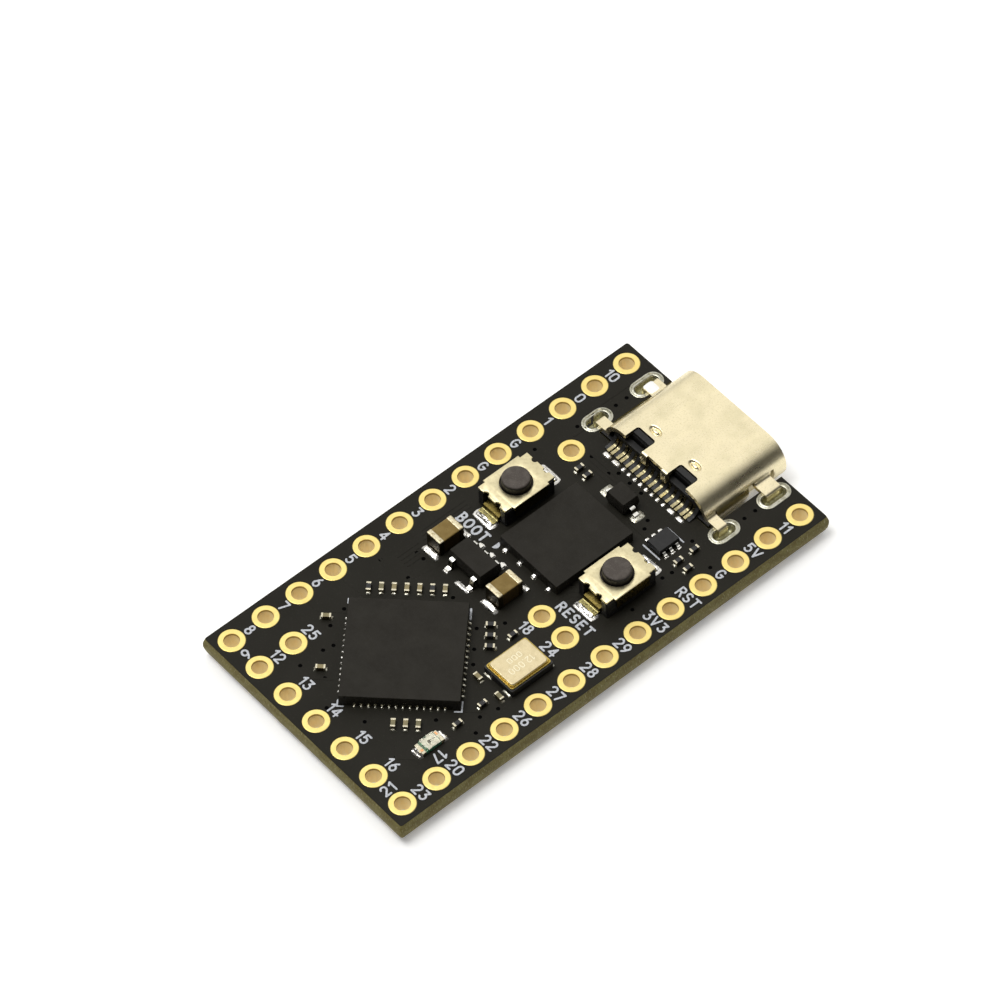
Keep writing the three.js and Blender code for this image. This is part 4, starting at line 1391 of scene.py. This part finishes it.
def build_small_chips():
    """The regulator, the diode and the surge guard, and the wide pads beside the first two."""
    regulator_lead = dict(width=0.34, inner=0.6, knee=0.95, foot=1.40, shoulder=0.68, thickness=0.14)
    build_leaded("voltage_regulator", "regulator", 0, 2.9, 1.6,
                 [(-0.95, False), (0, False), (0.95, False), (-0.95, True), (0.95, True)], regulator_lead)
    diode_lead = dict(width=0.36, inner=0.6, knee=0.92, foot=1.3, shoulder=0.42, thickness=0.13)
    build_leaded("input_diode", "diode", QUARTER, 1.3, 1.6, [(0, False), (0, True)], diode_lead)
    guard_lead = dict(width=0.22, inner=0.4, knee=0.6, foot=0.82, shoulder=0.22, thickness=0.11)
    guard_leads = [(across, rear) for rear in (False, True) for across in (-0.5, 0, 0.5)]
    build_leaded("surge_guard_chip", "surge_guard", QUARTER, 1.6, 1.2, guard_leads, guard_lead,
                 material="black_resin", drop=0.1)
    pads = Box("voltage_regulator").sculpt()
    pads.pillow(-0.05, 1.12, -1.62, -1.2, TOP, 0.10, (0.3, 0), 0.5, 1.1)
    pads.piece("regulator_pad", "solder", "solder")
    pads = Box("input_diode").sculpt()
    for side in (-1, 1):
        pads.pillow(side * 0.95, side * 1.62, -0.45, 0.45, TOP, 0.07, (0, 0), 0.7, side * 2.0)
    pads.piece("diode_pads", "dull_solder", "solder")


# ---------------------------------------------------------------- chip components
def capped_chip(bodies, ends, length, width, height, end, step):
    """A body along X with a metal cap wrapped around each end, about the sculpts' current place."""
    body_half = length / 2 - end * 0.3
    bodies.block(-body_half, body_half, -width / 2 + step, width / 2 - step, step, height - step)
    for side in (-1, 1):
        ends.block(side * (length / 2 - end), side * length / 2, -width / 2, width / 2, 0, height)


def build_bulk_capacitors():
    """The two large capacitors, each on its pads, with a spare lump of solder at the corner of one."""
    for name in ("input_capacitor", "output_capacitor"):
        box = Box(name)
        size = box.high - box.low
        body, ends = box.sculpt(box.low.z, QUARTER), box.sculpt(box.low.z, QUARTER)
        capped_chip(body, ends, size.y - 0.1, size.x, size.z, 0.40, 0.025)
        solder = box.sculpt()
        for side in (-1, 1):
            solder.pillow(-0.66, 0.70, side * 0.95, side * 1.43, TOP, 0.17, (0, -0.4 * side), 0.3,
                          side + box.centre.x)
        solder.pillow(0.25, 0.74, 1.05, 1.42, TOP, 0.13, (0.2, 0), 0.4, 2.2)
        body.piece(f"{name}_ceramic", "capacitor_body", "capacitor_body", replaces=[name], bevel=(0.09, 3))
        ends.piece(f"{name}_ends", "capacitor_end", "capacitor_body", bevel=(0.10, 3))
        solder.piece(f"{name}_solder", "solder", "solder")


def tiny_chips():
    """(node or None, x, y, turn, kind) of each tiny chip; the last four have no CAD node."""
    turns = {
        "capacitor": [-EIGHTH] * 8 + [EIGHTH] + [0] * 2,
        "resistor": [-EIGHTH] * 2 + [EIGHTH] * 3 + [QUARTER] * 5,
    }
    chips = []
    for kind, kind_turns in turns.items():
        for n, turn in enumerate(kind_turns, 1):
            node = f"{kind}_{n:02d}"
            centre = Box(node).centre
            chips.append((node, centre.x, centre.y, turn, kind))
    chips += [(None, 3.03, -3.0, QUARTER, "resistor"), (None, 6.24, 7.69, QUARTER, "resistor"),
              (None, 5.64, -9.43, QUARTER, "resistor"), (None, -2.62, -12.72, EIGHTH, "capacitor")]
    return chips


def build_tiny_chips():
    """All the tiny chips, as one piece of bodies and one of ends for each kind."""
    length, width, cap, seat = 0.6, 0.3, 0.13, TOP + 0.02
    parts = {kind: Sculpt() for kind in ("capacitor", "resistor")}
    ends = {kind: Sculpt() for kind in ("capacitor", "resistor")}
    nodes = {kind: [] for kind in ("capacitor", "resistor")}
    solder = Sculpt()
    for i, (node, x, y, turn, kind) in enumerate(tiny_chips()):
        for sculpt in (parts[kind], ends[kind]):
            sculpt.place(x, y, seat, turn)
        capped_chip(parts[kind], ends[kind], length, width, width, cap, 0.012)
        solder.place(x, y, TOP, turn)
        for side in (-1, 1):
            solder.pillow(side * 0.19, side * 0.42, -0.16, 0.16, 0.002, 0.075, (-0.5 * side, 0), 0.3,
                          i + side * 0.3, 6)
        if node:
            nodes[kind].append(node)
    for kind, material in (("capacitor", "tiny_capacitor_body"), ("resistor", "resistor_body")):
        parts[kind].piece(f"tiny_{kind}_bodies", material, f"{kind}_body", replaces=nodes[kind],
                          bevel=(0.015, 2))
        ends[kind].piece(f"tiny_{kind}_ends", "tiny_end", "solder", bevel=(0.02, 2))
    solder.piece("tiny_chip_solder", "dull_solder", "solder")


# ---------------------------------------------------------------- crystal and lamp
def build_crystal():
    """A black ceramic base, a gold rim, and a domed metal lid with etched marks."""
    box = Box("crystal_base")
    half, top = box.half, box.high.z
    lid_top = Box("crystal_lid").high.z
    base = box.sculpt()
    base.prism(centred(half.x, half.y, 0.12, 4), box.low.z, top)
    base.piece("crystal_ceramic", "black_ceramic", "black_ceramic", replaces=["crystal_base"],
               bevel=(0.025, 2))

    def outline(inset, radius):
        return centred(half.x, half.y, radius, 6, inset)

    rim = box.sculpt()
    rim.plate(outline(0.095, 0.14), [outline(0.145, 0.12)], top - 0.02, top + 0.10)
    rim.piece("crystal_rim", "rim_gold", "crystal_lid", bevel=(0.022, 2))
    lid = box.sculpt()
    lid.prism(outline(0.13, 0.13), top, top + 0.02)
    lid.prism(outline(0.175, 0.16), top + 0.01, lid_top - 0.08)
    lid.piece("crystal_flange", "rim_gold", "crystal_lid", bevel=(0.03, 3))
    cap = box.sculpt()
    cap.prism(outline(0.205, 0.22), lid_top - 0.16, lid_top)
    cap.piece("crystal_cap", "lid_metal", "crystal_lid", replaces=["crystal_lid"], bevel=(0.05, 4))
    marks = Sculpt()
    for k in range(3):
        marks.place(box.centre.x - 0.36, box.centre.y + (1 - k) * 0.36)
        marks.ribbon(centred(0.16, 0.11, 0.05, 2), 0.05, lid_top - 0.002, lid_top + 0.004, True)
    write(marks, "12.000", box.centre.x + 0.28, box.centre.y, -QUARTER, 0.40, 0.05, lid_top - 0.002, 0.006)
    marks.piece("crystal_marks", "lid_mark", "crystal_lid")
    solder = box.sculpt()
    for side_x in (-1, 1):
        for side_y in (-1, 1):
            solder.pillow(side_x * 0.45, side_x * 1.2, side_y * 1.40, side_y * 1.74, TOP, 0.10,
                          (0, -0.4 * side_y), 0.6, side_x + 2 * side_y)
    solder.piece("crystal_solder", "dull_solder", "solder")


def build_lamp():
    """A laminate base with tinned ends; a reflector, a die with its wire, and a clear lens over them."""
    box = Box("indicator_base")
    half, top = box.half, box.high.z
    base = box.sculpt()
    base.prism(centred(half.x, half.y, 0.03, 2), box.low.z, top)
    base.piece("indicator_laminate", "green_laminate", "lamp_base", replaces=["indicator_base"],
               bevel=(0.015, 2))
    ends = box.sculpt()
    for side in (-1, 1):
        ends.block(-half.x - 0.01, half.x + 0.01, side * (half.y - 0.24), side * (half.y + 0.01),
                   box.low.z, top + 0.02)
    ends.piece("indicator_ends", "tiny_end", "solder", bevel=(0.02, 2))
    copper = box.sculpt()
    copper.block(-0.34, -0.10, 0.58, 0.74, top, top + 0.03)
    copper.block(0.06, 0.24, -0.78, -0.60, top, top + 0.03)
    copper.piece("indicator_copper", "bare_copper", "lamp_base", bevel=(0.01, 2))
    reflector = box.sculpt()
    for reach, low_y, high_y, rise in ((0.39, 0.08, 0.53, 0.03), (0.39, -0.36, -0.12, 0.03),
                                       (0.36, -0.14, 0.1, 0.028)):
        reflector.block(-reach, reach, low_y, high_y, top - 0.01, top + rise)
    reflector.piece("indicator_reflector", "lamp_reflector", "lamp_base", bevel=(0.01, 2))
    die = box.sculpt()
    die.block(-0.08, 0.08, -0.09, 0.05, top + 0.02, top + 0.13)
    die.ribbon([(0.0, 0.0), (0.02, 0.36)], 0.03, top + 0.13, top + 0.15)
    die.piece("indicator_die", "lamp_die", "lamp_base", bevel=(0.01, 2))
    lens_box = Box("indicator_lens")
    lens_top = lens_box.high.z
    lens = box.sculpt()
    tapered(lens, lens_box.half.x, lens_box.half.y, 0.05,
            [(top + 0.001, 0), (lens_top - 0.06, 0.05), (lens_top, 0.1)])
    lens.piece("indicator_lens_body", "lamp_lens", "lamp_lens", replaces=["indicator_lens"], bevel=(0.02, 2))
    solder = box.sculpt()
    for side in (-1, 1):
        solder.pillow(-0.44, 0.44, side * 0.68, side * 1.14, TOP, 0.2, (0, -0.5 * side), 0.7, side * 3.1)
    solder.piece("indicator_solder", "solder", "solder")


# ---------------------------------------------------------------- stage
def build_stage():
    """The floor, level with the lowest point of the CAD model."""
    half = 0.9
    level = cad_bounds[0][2]
    mesh = bpy.data.meshes.new("floor")
    corners = [(x, y, level) for x, y in ((-half, -half), (half, -half), (half, half), (-half, half))]
    mesh.from_pydata(corners, [], [(0, 1, 2, 3)])
    mesh.materials.append(MATERIALS["floor"])
    floor = bpy.data.objects.new("floor", mesh)
    bpy.context.scene.collection.objects.link(floor)


def direction(azimuth, elevation):
    """A unit vector: azimuth from +X towards +Y, elevation up from the floor, in degrees."""
    a, e = math.radians(azimuth), math.radians(elevation)
    return Vector((math.cos(a) * math.cos(e), math.sin(a) * math.cos(e), math.sin(e)))


BRIGHT_AZIMUTH = 141.2
BRIGHT_ELEVATION = 52.8
SKY_LOW = 0.05
SKY_HIGH = 1.0
SKY_START = 0.28
SKY_END = 0.94
KEY_AZIMUTH = -135
KEY_ELEVATION = 72
KEY_DISTANCE = 0.6
KEY_SIZE = 0.3
KEY_WATTS = 1.9


def build_light():
    """A soft tent of light, brightest on the side opposite the camera, with one large soft key lamp."""
    world = bpy.data.worlds.new("studio")
    bpy.context.scene.world = world
    world.use_nodes = True
    tree = world.node_tree
    coordinates = tree.nodes.new("ShaderNodeTexCoord")
    facing = tree.nodes.new("ShaderNodeVectorMath")
    facing.operation = "DOT_PRODUCT"
    facing.inputs[1].default_value = direction(BRIGHT_AZIMUTH, BRIGHT_ELEVATION)
    tree.links.new(coordinates.outputs["Generated"], facing.inputs[0])
    ramp = tree.nodes.new("ShaderNodeMapRange")
    ramp.interpolation_type = "SMOOTHSTEP"
    limits = {"From Min": SKY_START, "From Max": SKY_END, "To Min": SKY_LOW, "To Max": SKY_HIGH}
    for socket, limit in limits.items():
        ramp.inputs[socket].default_value = limit
    tree.links.new(facing.outputs["Value"], ramp.inputs["Value"])
    tree.links.new(ramp.outputs["Result"], tree.nodes["Background"].inputs["Strength"])
    tree.nodes["Background"].inputs["Color"].default_value = (1.0, 0.99, 0.97, 1)
    data = bpy.data.lights.new("key", "AREA")
    data.shape = "SQUARE"
    data.size = KEY_SIZE
    data.energy = KEY_WATTS
    lamp = bpy.data.objects.new("key", data)
    lamp.location = direction(KEY_AZIMUTH, KEY_ELEVATION) * KEY_DISTANCE
    lamp.rotation_euler = (-lamp.location).to_track_quat("-Z", "Y").to_euler()
    bpy.context.scene.collection.objects.link(lamp)


CAMERA_TARGET = (-4.94, 2.92, 1.2)
CAMERA_AZIMUTH = -38.84
CAMERA_ELEVATION = 52.76
CAMERA_DISTANCE = 336.7
CAMERA_ROLL = -2.56
CAMERA_LENS = 206.6
SENSOR = 36.0


def build_camera():
    """A long lens that looks down on the board from beyond its rear right corner."""
    data = bpy.data.cameras.new("camera")
    data.lens = CAMERA_LENS
    data.sensor_width = SENSOR
    data.clip_start = 0.01
    data.clip_end = 10
    camera = bpy.data.objects.new("camera", data)
    outward = direction(CAMERA_AZIMUTH, CAMERA_ELEVATION)
    camera.location = (Vector(CAMERA_TARGET) + outward * CAMERA_DISTANCE) * MM
    level = outward.to_track_quat("Z", "Y").to_matrix().to_4x4()
    roll = Matrix.Rotation(math.radians(CAMERA_ROLL), 4, "Z")
    camera.rotation_euler = (level @ roll).to_euler()
    bpy.context.scene.collection.objects.link(camera)
    bpy.context.scene.camera = camera
    bpy.context.scene.view_settings.view_transform = "Standard"


def dress_cad_nodes():
    """The steel plate inside the tongue keeps its CAD shape and gets a better material."""
    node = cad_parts["usb_midplate"]
    node.data.materials.clear()
    node.data.materials.append(MATERIALS["spring_steel"])


build_board()
build_plated_holes()
build_vias()
build_slot_plating()
build_traces()
build_labels()
build_shell()
build_socket_inside()
build_contacts()
build_button("boot", 0.0)
build_button("reset", 5.0)
build_controller()
build_flash()
build_small_chips()
build_bulk_capacitors()
build_tiny_chips()
build_crystal()
build_lamp()
dress_cad_nodes()
build_stage()
build_light()
build_camera()
